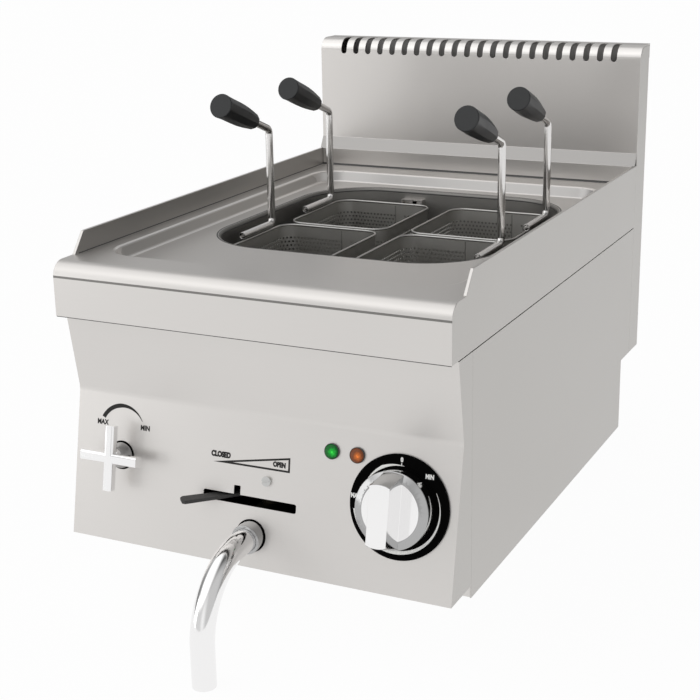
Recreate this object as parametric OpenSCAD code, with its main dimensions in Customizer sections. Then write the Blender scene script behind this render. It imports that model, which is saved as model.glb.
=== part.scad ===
// Countertop electric pasta cooker: a pressed worktop with a round-cornered tank, four lift-out
// baskets, a water tap, a heat control, a drain valve worked by a lever, and a vented splashback.
// Origin at the middle of the underside, +X to the right, +Y to the back, +Z up, in millimetres.

/* [Body] */
// Overall width
body_w = 400; // [390:1:440]
// Overall depth, from the apron's face to the back of the cap
body_d = 600; // [590:1:640]
// Height of the worktop's rim above the underside
worktop_z = 286; // [276:1:306]
// Thickness of the steel sheet
sheet = 1.5; // [1:0.1:2]
// Open seam between neighbouring panels
seam = 0.8; // [0.3:0.1:0.9]
// Width of the folded flanges that join the panels
flange = 14; // [8:1:20]

/* [Worktop] */
// Height of the apron and the skirts
apron_h = 52; // [44:1:60]
// Radius of the apron's rounded top edge
nose_r = 15; // [8:0.5:18]
// Height of the raised walls at the sides
wall_h = 20; // [10:1:30]
// Thickness of the raised walls
wall_t = 3; // [2:0.5:5]
// Distance from the apron's face to the foot of the raised walls
wall_start = 32; // [24:1:60]
// Run of the sloping front end of the raised walls
wall_slope = 16; // [5:1:30]

/* [Worktop well] */
// Width of the rim beside the well
well_side = 19; // [12:1:22]
// Width of the rim before the well, from the apron's face
well_front = 46; // [38:1:80]
// Width of the rim behind the well, to the flue
well_back = 41; // [38:1:44]
// Corner radius of the well's upper edge
well_r = 35; // [26:1:50]
// Depth of the well
well_h = 12.5; // [10:0.5:16]
// Run of the sloping step round the well
step_w = 11; // [9:0.5:13]
// Radius of the step's two bends
bend_r = 4; // [2.5:0.5:4.5]
// Radius of the rolled lip round the tank's mouth
lip_r = 3; // [2.5:0.5:4]

/* [Splashback] */
// Depth of the flue box
flue_d = 38; // [32:1:50]
// Height of the cap
flue_top = 440; // [400:1:480]
// Radius of the cap's front edge
cap_r = 15; // [8:0.5:18]
// Height of the cap's rear lip
cap_lip = 16; // [8:1:30]
// Distance the splashback's foot stands before the flue
foot_out = 8; // [4:1:12]
// Height of the sloping band above the splashback's foot
foot_slope = 14; // [8:1:24]
// Number of vent slots
vents = 22; // [12:1:23]
// Width of a vent slot
vent_w = 7; // [4:0.5:9]
// Distance between vent slots
vent_pitch = 16.1; // [12:0.1:16.5]
// Distance from the cap's top to a vent slot's lower end
vent_drop = 18; // [16:1:26]
// Distance from the flue's face to a vent slot's upper end
vent_run = 26; // [18:1:28]

/* [Rear recess] */
// Depth of the recess for pipes and cable
recess_d = 71; // [62:1:90]
// Height of the recess
recess_h = 82.6; // [70:0.2:110]

/* [Front panel] */
// Setback of the panel's top edge behind the apron's face
panel_top_in = 15.4; // [8:0.2:24]
// Setback of the panel's crease
crease_in = 28.5; // [20:0.5:34]
// Height of the crease
crease_z = 154.7; // [150:0.1:175]
// Height of the panel's bottom edge
panel_z = 12.7; // [8:0.1:20]
// Distance from the apron's face to the side panels
side_in = 48; // [44:1:60]

/* [Tank] */
// Inner width
tank_w = 300; // [292:1:310]
// Inner length
tank_l = 324; // [316:1:330]
// Corner radius
tank_r = 74; // [50:1:80]
// Distance of the tank's middle behind the body's middle
tank_y = 30; // [24:1:34]
// Height of the tank's floor
tank_floor = 88; // [80:1:92]
// Height of the rest for the baskets above the tank's floor
tray_up = 39; // [34:1:46]
// Clearance round the basket rest
tray_gap = 0.8; // [0.3:0.1:0.9]
// Diameter of the water holes in the basket rest
tray_hole = 26; // [10:1:30]

/* [Baskets] */
// Clearance between a basket's rim and the tank's side
basket_side = 18; // [14:0.5:30]
// Clearance between a basket's rim and the tank's end
basket_end = 20.5; // [15:0.5:30]
// Corner radius of the rim
basket_r = 19; // [12:1:30]
// Height of the rim above the basket rest
basket_h = 134; // [110:1:138]
// Wall thickness
basket_t = 1.2; // [0.8:0.1:2]
// Diameter of the rolled rim
rim_d = 3.6; // [3:0.2:5]
// Gap between the left and right baskets
basket_gap_x = 24; // [18:1:28]
// Gap between the front and rear baskets
basket_gap_y = 5; // [3:1:7]
// Gap under a basket at rest
rest_gap = 0.2; // [0.1:0.1:0.5]

/* [Basket handles] */
// Diameter of the handle's rod
rod_d = 8; // [6:0.5:10]
// Reach of the low rod before the basket's middle
rod_front = 23; // [10:1:50]
// Reach of the low rod behind the basket's middle
rod_back = 42.5; // [30:0.5:60]
// Height of the upright rod
rod_h = 103; // [80:1:140]
// Radius of the rod's bends
rod_bend = 7; // [5:0.5:12]
// Length of rod showing between the upright and the grip
rod_free = 35; // [20:1:48]
// Slope of the grip above the level
grip_slope = 21; // [5:1:45]
// Length of the grip
grip_l = 70; // [50:1:110]
// Diameter of the grip at the rod
grip_d0 = 17.5; // [15:0.5:22]
// Diameter of the grip at its end
grip_d1 = 25; // [19:0.5:32]
// Depth of the rod's seat in the grip
grip_seat = 30; // [10:1:45]

/* [Tap] */
// Distance of the tap from the body's left side
tap_x = 52; // [40:1:80]
// Height of the tap
tap_z = 96; // [80:1:110]
// Radius of the hole for the tap
tap_hole = 14; // [13.5:0.1:16]
// Radius of the bonnet at the panel
bonnet_r = 12.6; // [11:0.1:13]
// Length of the bonnet before the panel
bonnet_l = 12; // [8:0.5:16]
// Span of the cross handle
cross_span = 63; // [50:1:80]
// Width of the handle's arms
arm_w = 10; // [8:0.5:14]
// Depth of the handle's arms
arm_d = 9; // [6:0.5:12]
// Radius of the tap's spindle
spindle_r = 4; // [3:0.5:5]

/* [Heat control] */
// Distance of the knob from the body's right side
knob_x = 55.4; // [50:0.2:70]
// Height of the knob
knob_z = 92.4; // [80:0.2:100]
// Radius of the printed bezel
bezel_r = 47.5; // [42:0.5:50]
// Thickness of the bezel
bezel_t = 2.5; // [1.5:0.5:4]
// Radius of the knob's skirt
knob_r = 35; // [28:0.5:38]
// Height of the knob's disc above the panel
disc_h = 22; // [16:1:28]
// Width of the sloping rim round the knob's face
knob_rim_w = 8; // [2:0.5:10]
// Fall of the sloping rim round the knob's face
knob_rim_h = 3; // [1:0.5:5]
// Height of the knob's bar above the panel
bar_h = 48; // [34:1:52]
// Width of the knob's bar
bar_w = 19; // [12:0.5:24]
// Taper of the knob's bar over its height
bar_taper = 6; // [0:0.5:8]
// Radius of the control's shaft
shaft_r = 3; // [2.5:0.5:4]
// Size of the control's case
case_w = 44; // [36:1:56]
// Depth of the control's case
case_d = 34; // [28:1:44]

/* [Lamps and screw] */
// Distance of the green lamp left of the knob
lamp_x = 69; // [60:0.5:80]
// Distance between the lamps
lamp_pitch = 25.1; // [22:0.1:30]
// Height of the lamps
lamp_z = 131.6; // [120:0.1:136]
// Radius of a lamp's lens
lens_r = 7.25; // [5:0.25:8]
// Height of a lens's dome
lens_h = 4; // [2:0.5:6]
// Distance of the slotted screw right of the drain
screw_x = 13.4; // [5:0.1:30]
// Height of the slotted screw
screw_z = 94.8; // [90:0.1:104]
// Radius of the slotted screw's head
screw_r = 4.7; // [3.5:0.1:6]

/* [Drain] */
// Sideways place of the drain
drain_x = -2; // [-6:1:2]
// Height of the drain pipe's axis
drain_z = 42.4; // [40:0.2:45]
// Distance of the valve's stem behind the apron's face
stem_in = 47; // [44:1:50]
// Radius of the drain pipe
pipe_r = 14; // [11:0.5:15]
// Radius of the valve's ball
ball_r = 15; // [13:0.5:15.5]
// Radius of the water way
way_r = 9; // [6:0.5:10]
// Radius of the valve's stem
stem_r = 5; // [4:0.5:6]
// Height of the lever's middle
lever_z = 73.8; // [73.2:0.1:74.6]
// Length from the stem to the lever's tip
lever_l = 86; // [76:1:100]
// Angle of the closed lever, forward from the left
lever_angle = 43; // [42:0.5:45]
// Thickness of the lever's arm
lever_t = 3; // [2:0.5:4]
// Thickness of the lever's grip
lever_grip_t = 5.5; // [5:0.1:6]
// Width of the lever's grip at its tip
lever_grip_w = 16.4; // [14:0.2:17]
// Reach of the lever's slot left of the drain
slot_x0 = 53; // [52:1:70]
// Reach of the lever's slot right of the drain
slot_x1 = 45; // [44:1:60]
// Height of the lever's slot
slot_h = 8.6; // [8.2:0.1:10]
// Distance of the notch's left edge left of the drain
notch_x = 20.6; // [8:0.2:30]
// Width of the slot's notch
notch_w = 6.9; // [4:0.1:10]
// Height of the notch above the slot
notch_h = 8.5; // [4:0.5:11]

/* [Spout] */
// Outer diameter
spout_d = 22.5; // [18:0.5:24]
// Wall thickness
spout_t = 2; // [1:0.5:3]
// Radius of the bend
spout_bend = 70; // [50:1:80]
// Distance of the outlet before the apron's face
spout_out = 86; // [76:1:120]
// Distance of the outlet below the underside
spout_down = 65; // [40:1:100]
// Radius of the collar
collar_r = 14.2; // [13.5:0.1:14.8]
// Length of the collar before the panel
collar_out = 11; // [6:1:16]
// Radius of the hole for the collar
collar_hole = 15.1; // [15:0.1:17]

/* [Water supply] */
// Radius of the copper pipes
water_r = 7.5; // [6:0.5:8]
// Distance of the pipes right of the middle of the space between the side panel and the tank
water_x = 1; // [-3:0.5:3]
// Radius of the inlet's thread
inlet_r = 10.48; // [8:0.01:13]
// Length of the inlet's thread
inlet_l = 15; // [10:1:20]
// Height of the inlet, the cable entry and the earth stud
service_z = 42; // [38:1:50]
// Sideways place of the fill spout in the tank's rear wall
fill_x = -46; // [-60:1:-30]
// Width of the fill spout
fill_w = 26; // [18:1:30]

/* [Heating] */
// Radius of the heating tubes
tube_r = 4.25; // [3:0.25:5]
// Half distance between a hairpin's two legs
hairpin_r = 9; // [8:0.5:10]
// Distance between hairpins
hairpin_pitch = 34; // [30:1:36]
// Height of the heating tubes above the tank's floor
tube_up = 18; // [16:1:22]
// Length of the hairpins inside the tank
tube_l = 290; // [200:1:300]
// Radius of the sensing bulb
bulb_r = 3.5; // [2.5:0.5:4]
// Length of the sensing bulb
bulb_l = 110; // [80:1:160]

/* [Electrical entry] */
// Distance of the cable entry from the body's right side
cable_x = 80; // [50:1:110]
// Radius of the cable entry's bore
cable_r = 6.5; // [4:0.5:8]
// Distance of the earth stud left of the cable entry
stud_x = 54; // [36:1:80]
// Radius of the earth stud
stud_r = 3; // [2:0.5:4]
// Length of the earth stud outside the panel
stud_l = 16; // [10:1:24]

/* [Hidden] */
$fn = 96;

// Planes of the body
hw = body_w / 2;
front = -body_d / 2;
back = body_d / 2;
apron_z = worktop_z - apron_h;
flue_y = back - flue_d;
recess_y = back - recess_d;
side_y = front + side_in;
panel_top = apron_z - seam;
foot_top = worktop_z + wall_h;
inner_w = hw - sheet;
over = 5;
fit = 0.05;
clear = 0.3;

// The well and the tank's mouth
well_w = body_w - 2 * well_side;
well_l = body_d - flue_d - well_front - well_back;
well_y = (front + well_front + flue_y - well_back) / 2;
well_floor = worktop_z - well_h;
step_angle = atan2(well_h - 2 * bend_r, step_w) + asin(2 * bend_r / norm([step_w, well_h - 2 * bend_r]));
tank_top = well_floor - lip_r;
tank_front = tank_y - tank_l / 2;
tank_back = tank_y + tank_l / 2;

// The front panel's lower face and what sits on it
lean = atan2(crease_in, crease_z - panel_z);
lean_top = atan2(crease_in - panel_top_in, panel_top - crease_z);
stem_y = front + stem_in;
slot_r = 2;
notch_r = 1;
tap_at = -hw + tap_x;
knob_at = hw - knob_x;
lamp_at = knob_at - lamp_x;
screw_at = drain_x + screw_x;

// Baskets
tray_z = tank_floor + tray_up;
basket_z = tray_z + sheet + rest_gap;
rim_z = basket_z + basket_h - rim_d / 2;
basket_w = (tank_w - basket_gap_x) / 2 - basket_side;
basket_l = (tank_l - basket_gap_y) / 2 - basket_end;
basket_dx = (basket_w + basket_gap_x) / 2;
basket_dy = (basket_l + basket_gap_y) / 2;
rod_seat = 0.2;
rod_play = 0.01;
rod_off = rim_d / 2 + rod_seat;
rod_x = basket_dx + basket_w / 2 - rim_d / 2 + rod_off;
rod_z = rim_z + sqrt(pow((rim_d + rod_d) / 2 + rod_play, 2) - pow(rod_off, 2));

grip_edge = 2;

// Water lines
tap_back = 40;
tap_wall = 4;
tap_end = 10;
tap_axis_in = 26;
tap_seat = [tap_at, panel_y(tap_z) + tap_axis_in * cos(lean), tap_z - tap_axis_in * sin(lean)];
tap_port_r = 9;
tap_port_l = 28;
bonnet_rim = 2;
bonnet_neck = spindle_r + 4;
cross_gap = 3;
cross_z0 = bonnet_l + cross_gap;
hub_sink = 2;
arm_edge = 2.5;
water_at = water_x - (tank_w / 2 + sheet + inner_w) / 2;
water_t = 1;
line_bend = 10;
line_shift = 60;
line_clear = 5;
inlet_tail = 10;
inlet_t = 1.5;
nut_h = 6;
nut_edge = 4;
bend_lap = 0.5;
bend_swell = 0.1;
rear_line_y = (tank_back + flue_y) / 2;
fill_drop = 14;
fill_z = tank_top - fill_drop;
fill_lip_h = 7;
fill_lip_l = 8;
fill_lip_t = 1;
fill_way_r = 3;
fill_flange_t = 2;
fill_flange_x = 4;
fill_flange_z = 6;

// Drain
drain_t = 2;
drain_bend = 22;
drain_in = 36;
drain_hole_y = tank_front + drain_in;
valve_half = 27.5;
valve_t = 5;
valve_r = ball_r + valve_t;
boss_r = stem_r + 4;
boss_gap = 4;
boss_top = lever_z - lever_grip_t / 2 - boss_gap;
stem_nut_h = 4;
stem_end = 5;
arm_half = 5;
arm_cover = 1.5;
lever_grip_s = 30;
lever_grip_end = 20;
lever_arm_l = lever_l - lever_grip_end;
collar_back = stem_y - valve_half;

// Heating and sensing
tube_z = tank_floor + tube_up;
tube_tail = 16;
flange_t = 3;
flange_edge = 10;
flange_land = 6;
flange_w = 2 * (hairpin_pitch + hairpin_r + tube_r + flange_edge);
flange_h = 2 * (tube_r + flange_edge);
bulb_x = 66;
bulb_nut_l = 6;
bulb_nut_edge = 4;
capillary_d = 2.4;
capillary_bend = 8;
capillary_lead = 24;
capillary_turn = 44;
tray_web = 14;
tray_foot_r = 6;
tray_foot_in = 26;

// Control, lamps and screws
case_back = case_d + sheet;
case_seat = 8;
shaft_play = 1;
bush_r = shaft_r + 3;
bush_h = 1;
collar_up = 1.5;
collar_edge = 1.3;
knob_gap = 0.7;
knob_low = bezel_t + collar_up + knob_gap;
knob_bore = 16;
bar_in = 1;
lens_step = 1.2;
lens_neck_r = lens_r - lens_step;
lens_rim = 1.2;
lens_neck_l = 8;
holder_l = 26;
holder_t = 2.5;
screw_h = 2.2;
screw_shank_r = 2.5;
screw_shank_l = 10;
screw_slot = 1.2;
back_screw_r = 3.6;
back_screw_in = 20;
back_screw_drop = 30;
back_screw_slot = 1;

// Electrical entry
cable_at = hw - cable_x;
stud_at = cable_at - stud_x;
gland_t = 2;
gland_r = cable_r + gland_t;
gland_tail = 8;
gland_edge = 4.5;
gland_foot = 3;
gland_tip = 0.5;
gland_cap = 14;
stud_nut_h = 3;
stud_nut_edge = 3;
stud_tail = 8;
block_w = 60;
block_d = 28;
block_h = 24;
block_in = 90;
block_holes = 5;
block_hole_r = 3;
block_hole_h = 10;
pan_gap = 0.7;

function panel_y(z) = front + (z - panel_z) * tan(lean);
function arc(c, r, a0, a1, n = 8) = [
    for (i = [0:n]) let (a = a0 + (a1 - a0) * i / n) c + r * [cos(a), sin(a)]
];
function unit(v) = v / norm(v);
function turn(a, b) = acos(max(-1, min(1, a * b)));
function stretched(p, e) = let (n = len(p) - 1) [
    for (i = [0:n])
        i == 0 ? p[0] - e * unit(p[1] - p[0]) : i == n ? p[n] + e * unit(p[n] - p[n - 1]) : p[i]
];

// Sweeps a (y, z) outline along X
module along_x(x0, x1) translate([x0, 0, 0]) rotate([90, 0, 90]) linear_extrude(x1 - x0) children();

// Places children on the front panel's lower face, with +Z out of the panel and +Y up it
module on_panel(x, z) translate([x, panel_y(z), z]) rotate([90 - lean, 0, 0]) children();

// Places children on the rear panel, with +Z out of it to the back
module on_rear(x, z) translate([x, recess_y, z]) rotate([-90, 0, 0]) children();

module round_rect(w, l, r) {
    square([w, l - 2 * r], center = true);
    square([w - 2 * r, l], center = true);
    for (sx = [-1, 1], sy = [-1, 1])
        translate([sx * (w / 2 - r), sy * (l / 2 - r)]) circle(r);
}

// Sweeps an outline, with x inwards and y up, round the edge of a rounded rectangle
module ring_sweep(w, l, r) {
    for (s = [0, 1]) {
        mirror([s, 0, 0]) translate([-w / 2, l / 2 - r, 0]) rotate([90, 0, 0])
            linear_extrude(l - 2 * r) children();
        mirror([0, s, 0]) translate([0, -l / 2, 0]) along_x(-w / 2 + r, w / 2 - r) children();
    }
    for (sx = [0, 1], sy = [0, 1])
        mirror([sx, 0, 0]) mirror([0, sy, 0]) translate([w / 2 - r, l / 2 - r, 0])
            rotate_extrude(angle = 90) translate([r, 0]) mirror([1, 0]) children();
}

// Turns +Z into the direction v
module point_along(v) rotate([0, acos(v[2] / norm(v)), atan2(v[1], v[0])]) children();

module in_frame(o, x, y, z)
    multmatrix([[x[0], y[0], z[0], o[0]], [x[1], y[1], z[1], o[1]], [x[2], y[2], z[2], o[2]]]) children();

// A round rod along points, with a slightly fuller round bend at each inner point that the straights run into
module bent_rod(p, d, bend) {
    n = len(p) - 1;
    dir = [for (i = [0:n - 1]) unit(p[i + 1] - p[i])];
    trim = [for (i = [0:n]) i == 0 || i == n ? 0 : bend * tan(turn(dir[i - 1], dir[i]) / 2)];
    for (i = [0:n - 1]) {
        a = p[i] + dir[i] * (trim[i] - (i == 0 ? 0 : bend_lap));
        b = p[i + 1] - dir[i] * (trim[i + 1] - (i + 1 == n ? 0 : bend_lap));
        translate(a) point_along(dir[i]) cylinder(d = d, h = norm(b - a));
    }
    for (i = [1:1:n - 1]) {
        inward = unit(dir[i] - dir[i - 1] * (dir[i] * dir[i - 1]));
        centre = p[i] - dir[i - 1] * trim[i] + inward * bend;
        in_frame(centre, -inward, dir[i - 1], cross(-inward, dir[i - 1]))
            rotate_extrude(angle = turn(dir[i - 1], dir[i])) translate([bend, 0]) circle(d = d + bend_swell);
    }
}

module bent_tube(p, od, id, bend) difference() {
    bent_rod(p, od, bend);
    bent_rod(stretched(p, 1), id, bend);
}

// Worktop: hood with a rounded apron, raised side walls and a stepped well with a rolled mouth
module hood_outline(t, drop) {
    translate([front + t, apron_z - drop]) square([body_d - flue_d - t + drop, apron_h + drop - nose_r]);
    translate([front + nose_r, apron_z - drop]) square([body_d - flue_d - nose_r + drop, apron_h + drop - t]);
    translate([front + nose_r, worktop_z - nose_r]) circle(nose_r - t);
}

module side_wall_outline() {
    foot = front + wall_start;
    polygon([
        [foot, worktop_z - sheet], [foot, worktop_z], [foot + wall_slope, worktop_z + wall_h],
        [flue_y, worktop_z + wall_h], [flue_y, worktop_z - sheet]
    ]);
}

module well_step_outline() {
    upper = [0, worktop_z - bend_r];
    lower = [step_w, well_floor + bend_r];
    polygon(concat(
        arc(upper, bend_r, 90, 90 - step_angle), arc(lower, bend_r, 270 - step_angle, 270),
        arc(lower, bend_r + sheet, 270, 270 - step_angle), arc(upper, bend_r - sheet, 90 - step_angle, 90)
    ));
}

module lip_outline() {
    centre = [0, well_floor - lip_r];
    polygon(concat(arc(centre, lip_r, 90, 0), arc(centre, lip_r - sheet, 0, 90)));
}

module worktop() color("silver") {
    difference() {
        union() {
            difference() {
                along_x(-hw, hw) hood_outline(0, 0);
                along_x(-inner_w, inner_w) hood_outline(sheet, over);
            }
            for (s = [0, 1]) mirror([s, 0, 0]) along_x(hw - wall_t, hw) side_wall_outline();
        }
        translate([0, well_y, worktop_z - over]) linear_extrude(2 * over) round_rect(well_w, well_l, well_r);
    }
    translate([0, well_y, 0]) ring_sweep(well_w, well_l, well_r) well_step_outline();
    translate([0, 0, well_floor - sheet]) linear_extrude(sheet) difference() {
        translate([0, well_y]) round_rect(well_w - 2 * step_w, well_l - 2 * step_w, well_r - step_w);
        translate([0, tank_y]) round_rect(tank_w + 2 * lip_r, tank_l + 2 * lip_r, tank_r + lip_r);
    }
    translate([0, tank_y, 0])
        ring_sweep(tank_w + 2 * lip_r, tank_l + 2 * lip_r, tank_r + lip_r) lip_outline();
}

// Splashback: one sheet from the worktop up over the cap and down behind, with vent slots
function splash_path(t, drop) = concat(
    [[flue_y - foot_out + t, worktop_z - drop], [flue_y - foot_out + t, foot_top]],
    [[flue_y + t, foot_top + foot_slope]],
    arc([flue_y + cap_r, flue_top - cap_r], cap_r - t, 180, 90),
    [[back - t, flue_top - t], [back - t, flue_top - cap_lip - drop]]
);

module splash_outline() difference() {
    polygon(concat(
        splash_path(0, 0), [[back - sheet, flue_top - cap_lip], [flue_y - foot_out + sheet, worktop_z]]
    ));
    polygon(splash_path(sheet, over));
}

module vent_cut() {
    low = flue_top - vent_drop + vent_w / 2;
    far = flue_y + vent_run - vent_w / 2;
    translate([-vent_w / 2, flue_y - over, low]) cube([vent_w, far - flue_y + over, flue_top - low + over]);
    translate([0, flue_y - over, low]) rotate([-90, 0, 0]) cylinder(d = vent_w, h = cap_r + over);
    translate([0, far, flue_top - cap_r]) cylinder(d = vent_w, h = cap_r + over);
}

module splashback() color("gainsboro") difference() {
    along_x(-hw, hw) splash_outline();
    for (s = [0, 1]) mirror([s, 0, 0])
        translate([hw - wall_t - seam / 2, flue_y - foot_out - over, worktop_z - over])
            cube([wall_t + over, foot_out + over, wall_h + over + seam / 2]);
    for (i = [0:vents - 1]) translate([(i - (vents - 1) / 2) * vent_pitch, 0, 0]) vent_cut();
}

// Flue box: two side plates and a floor over the recess
module flue_side_outline() difference() {
    union() {
        translate([flue_y, recess_h]) square([flue_d - sheet, flue_top - cap_r - recess_h]);
        translate([flue_y + cap_r, recess_h]) square([flue_d - sheet - cap_r, flue_top - sheet - recess_h]);
        translate([flue_y + cap_r, flue_top - cap_r]) circle(cap_r - sheet);
    }
    translate([flue_y - over, worktop_z + wall_h]) square([over + sheet, flue_top]);
    translate([back - 2 * sheet, recess_h - over]) square([over, flue_top]);
}

module flue_shell() color("silver") {
    for (s = [0, 1]) mirror([s, 0, 0]) along_x(inner_w, hw) flue_side_outline();
    translate([-inner_w, recess_y - sheet, recess_h]) cube([2 * inner_w, recess_d - sheet, sheet]);
}

module flue_back() color("darkgray")
    translate([-hw, back - 2 * sheet, recess_h]) cube([body_w, sheet, flue_top - sheet - recess_h - seam]);

module back_screws() color("gray")
    for (x = [-1:1], z = [recess_h + back_screw_in, flue_top - cap_lip - back_screw_drop])
        translate([x * (hw - back_screw_in), back - sheet, z]) rotate([-90, 0, 0]) difference() {
            cylinder(r = back_screw_r, h = sheet - clear);
            translate([-back_screw_r - over, -back_screw_slot / 2, sheet / 2])
                cube([2 * (back_screw_r + over), back_screw_slot, sheet]);
        }

// Side panel: a plate cut away over the recess, with flanges at the front and the top
module side_panel() {
    along_x(inner_w, hw) polygon([
        [side_y, 0], [recess_y, 0], [recess_y, recess_h], [flue_y - seam / 2, recess_h],
        [flue_y - seam / 2, panel_top], [side_y, panel_top]
    ]);
    translate([hw - flange, side_y, panel_z]) cube([flange - sheet, sheet, panel_top - panel_z]);
    translate([hw - flange, side_y + sheet, panel_top - sheet])
        cube([flange - sheet, flue_y - seam / 2 - side_y - sheet, sheet]);
}

module side_panel_right() color("darkgray") side_panel();

// The left one's upper flange is notched for the fill pipe
module side_panel_left() color("darkgray") difference() {
    mirror([1, 0, 0]) side_panel();
    translate([water_at, rear_line_y, panel_top - over]) cylinder(r = water_r + line_clear, h = 2 * over);
}

// Front panel: a creased tray that carries the controls
module panel_outline(t) polygon([
    [front + panel_top_in + t / cos(lean_top), panel_top - t], [front + crease_in + t, crease_z],
    [front + t / cos(lean) + t * tan(lean), panel_z + t], [side_y - seam / 2 + over * t, panel_z + t],
    [side_y - seam / 2 + over * t, panel_top - t]
]);

module slot_cut() {
    tall = slot_h / cos(lean);
    on_panel(drain_x + (slot_x1 - slot_x0) / 2, lever_z) translate([0, 0, -over])
        linear_extrude(2 * over) round_rect(slot_x0 + slot_x1, tall, slot_r);
    on_panel(drain_x - notch_x + notch_w / 2, lever_z) translate([0, (tall / 2 + notch_h) / 2, -over])
        linear_extrude(2 * over) round_rect(notch_w, tall / 2 + notch_h, notch_r);
}

module front_panel() color("gainsboro") difference() {
    along_x(-hw, hw) panel_outline(0);
    along_x(-inner_w, inner_w) panel_outline(sheet);
    on_panel(tap_at, tap_z) translate([0, 0, -over]) cylinder(r = tap_hole, h = 2 * over);
    on_panel(knob_at, knob_z) translate([0, 0, -over]) cylinder(r = bush_r + fit, h = 2 * over);
    for (i = [0, 1]) on_panel(lamp_at + i * lamp_pitch, lamp_z)
        translate([0, 0, -over]) cylinder(r = lens_neck_r + fit, h = 2 * over);
    on_panel(screw_at, screw_z) translate([0, 0, -over]) cylinder(r = screw_shank_r + fit, h = 2 * over);
    translate([drain_x, panel_y(drain_z) - 2 * over, drain_z]) rotate([-90, 0, 0])
        cylinder(r = collar_hole, h = 4 * over);
    slot_cut();
}

// Base pan with turned-up edges, whose underside the cooker stands on
module base_pan() color("silver") {
    rim = panel_z - pan_gap;
    difference() {
        translate([-inner_w, side_y + sheet, 0]) cube([2 * inner_w, recess_y - 2 * sheet - side_y, rim]);
        translate([-inner_w + sheet, side_y + 2 * sheet, sheet])
            cube([2 * inner_w - 2 * sheet, recess_y - 4 * sheet - side_y, rim]);
    }
}

module rear_panel() color("silver") difference() {
    translate([-inner_w, recess_y - sheet, 0]) cube([2 * inner_w, sheet, recess_h]);
    on_rear(water_at, service_z) translate([0, 0, -over]) cylinder(r = water_r + fit, h = 2 * over);
    on_rear(cable_at, service_z) translate([0, 0, -over]) cylinder(r = gland_r + fit, h = 2 * over);
    on_rear(stud_at, service_z) translate([0, 0, -over]) cylinder(r = stud_r + fit, h = 2 * over);
}

// Tank hung from the worktop's lip, open for the drain, the heating flange, the bulb and the fill spout
module tank() color("dimgray") difference() {
    translate([0, tank_y, tank_floor - sheet]) linear_extrude(tank_top - tank_floor + sheet)
        round_rect(tank_w + 2 * sheet, tank_l + 2 * sheet, tank_r + sheet);
    translate([0, tank_y, tank_floor]) linear_extrude(tank_top) round_rect(tank_w, tank_l, tank_r);
    translate([drain_x, drain_hole_y, tank_floor - over]) cylinder(r = pipe_r - drain_t, h = 2 * over);
    translate([flange_land - flange_w / 2, tank_front - over, tube_z + flange_land - flange_h / 2])
        cube([flange_w - 2 * flange_land, 2 * over, flange_h - 2 * flange_land]);
    translate([bulb_x, tank_front - over, tube_z]) rotate([-90, 0, 0])
        cylinder(r = bulb_r + fit, h = 2 * over);
    translate([fill_x - fill_w / 2, tank_back - over, fill_z]) cube([fill_w, 2 * over, fill_lip_h]);
}

// Perforated rest for the baskets, on four feet
module basket_rest() color("gray") {
    pitch = tray_hole + tray_web;
    difference() {
        translate([0, tank_y, tray_z]) linear_extrude(sheet)
            round_rect(tank_w - 2 * tray_gap, tank_l - 2 * tray_gap, tank_r - tray_gap);
        for (i = [-2:2], j = [-3:3])
            translate([i * pitch, tank_y + j * pitch, tray_z - over]) cylinder(d = tray_hole, h = 2 * over);
    }
    for (x = [-1, 1], y = [-1, 1])
        translate([x * (tank_w / 2 - tray_foot_in), tank_y + y * (tank_l / 2 - tank_r), tank_floor])
            cylinder(r = tray_foot_r, h = tray_up);
}

// Three heating hairpins through a flange on the tank's front wall
module heating_tubes() color("dimgray") {
    start = tank_front - sheet - flange_t - tube_tail;
    stop = tank_front + tube_l;
    for (i = [-1:1]) translate([i * hairpin_pitch, 0, tube_z]) {
        for (s = [-1, 1]) translate([s * hairpin_r, start, 0]) rotate([-90, 0, 0])
            cylinder(r = tube_r, h = stop - start);
        translate([0, stop, 0]) rotate_extrude(angle = 180) translate([hairpin_r, 0]) circle(tube_r);
    }
}

module heating_flange() color("silver") difference() {
    translate([-flange_w / 2, tank_front - sheet - flange_t, tube_z - flange_h / 2])
        cube([flange_w, flange_t, flange_h]);
    for (i = [-1:1], s = [-1, 1]) translate([i * hairpin_pitch + s * hairpin_r, tank_front, tube_z])
        rotate([90, 0, 0]) cylinder(r = tube_r, h = 4 * over);
}

// Temperature bulb in the water, with the capillary that joins it to the control
module sensing_bulb() color("darkgoldenrod")
    translate([bulb_x, tank_front - sheet, tube_z]) rotate([-90, 0, 0]) {
        cylinder(r = bulb_r, h = bulb_l);
        translate([0, 0, -bulb_nut_l]) cylinder(r = bulb_r + bulb_nut_edge, h = bulb_nut_l, $fn = 6);
    }

module capillary() color("darkgoldenrod") {
    start = [knob_at, panel_y(knob_z) + case_back * cos(lean) + clear, knob_z - case_back * sin(lean)];
    stop = [bulb_x, tank_front - sheet - bulb_nut_l, tube_z];
    bent_rod([
        start, start + [0, capillary_lead, 0], [stop[0], start[1] + capillary_turn, stop[2]], stop
    ], capillary_d, capillary_bend);
}

// Tap: brass body behind the panel, chromed bonnet, spindle and cross handle
module tap_body() color("goldenrod") difference() {
    union() {
        on_panel(tap_at, tap_z) translate([0, 0, -tap_back])
            cylinder(r = tap_hole + tap_wall, h = tap_back - sheet);
        translate(tap_seat) rotate([180, 0, 0]) cylinder(r = tap_port_r, h = tap_port_l);
        translate(tap_seat) rotate([-90, 0, 0]) cylinder(r = tap_port_r, h = tap_port_l);
    }
    on_panel(tap_at, tap_z) translate([0, 0, tap_end - tap_back]) cylinder(r = spindle_r + fit, h = tap_back);
}

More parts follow.
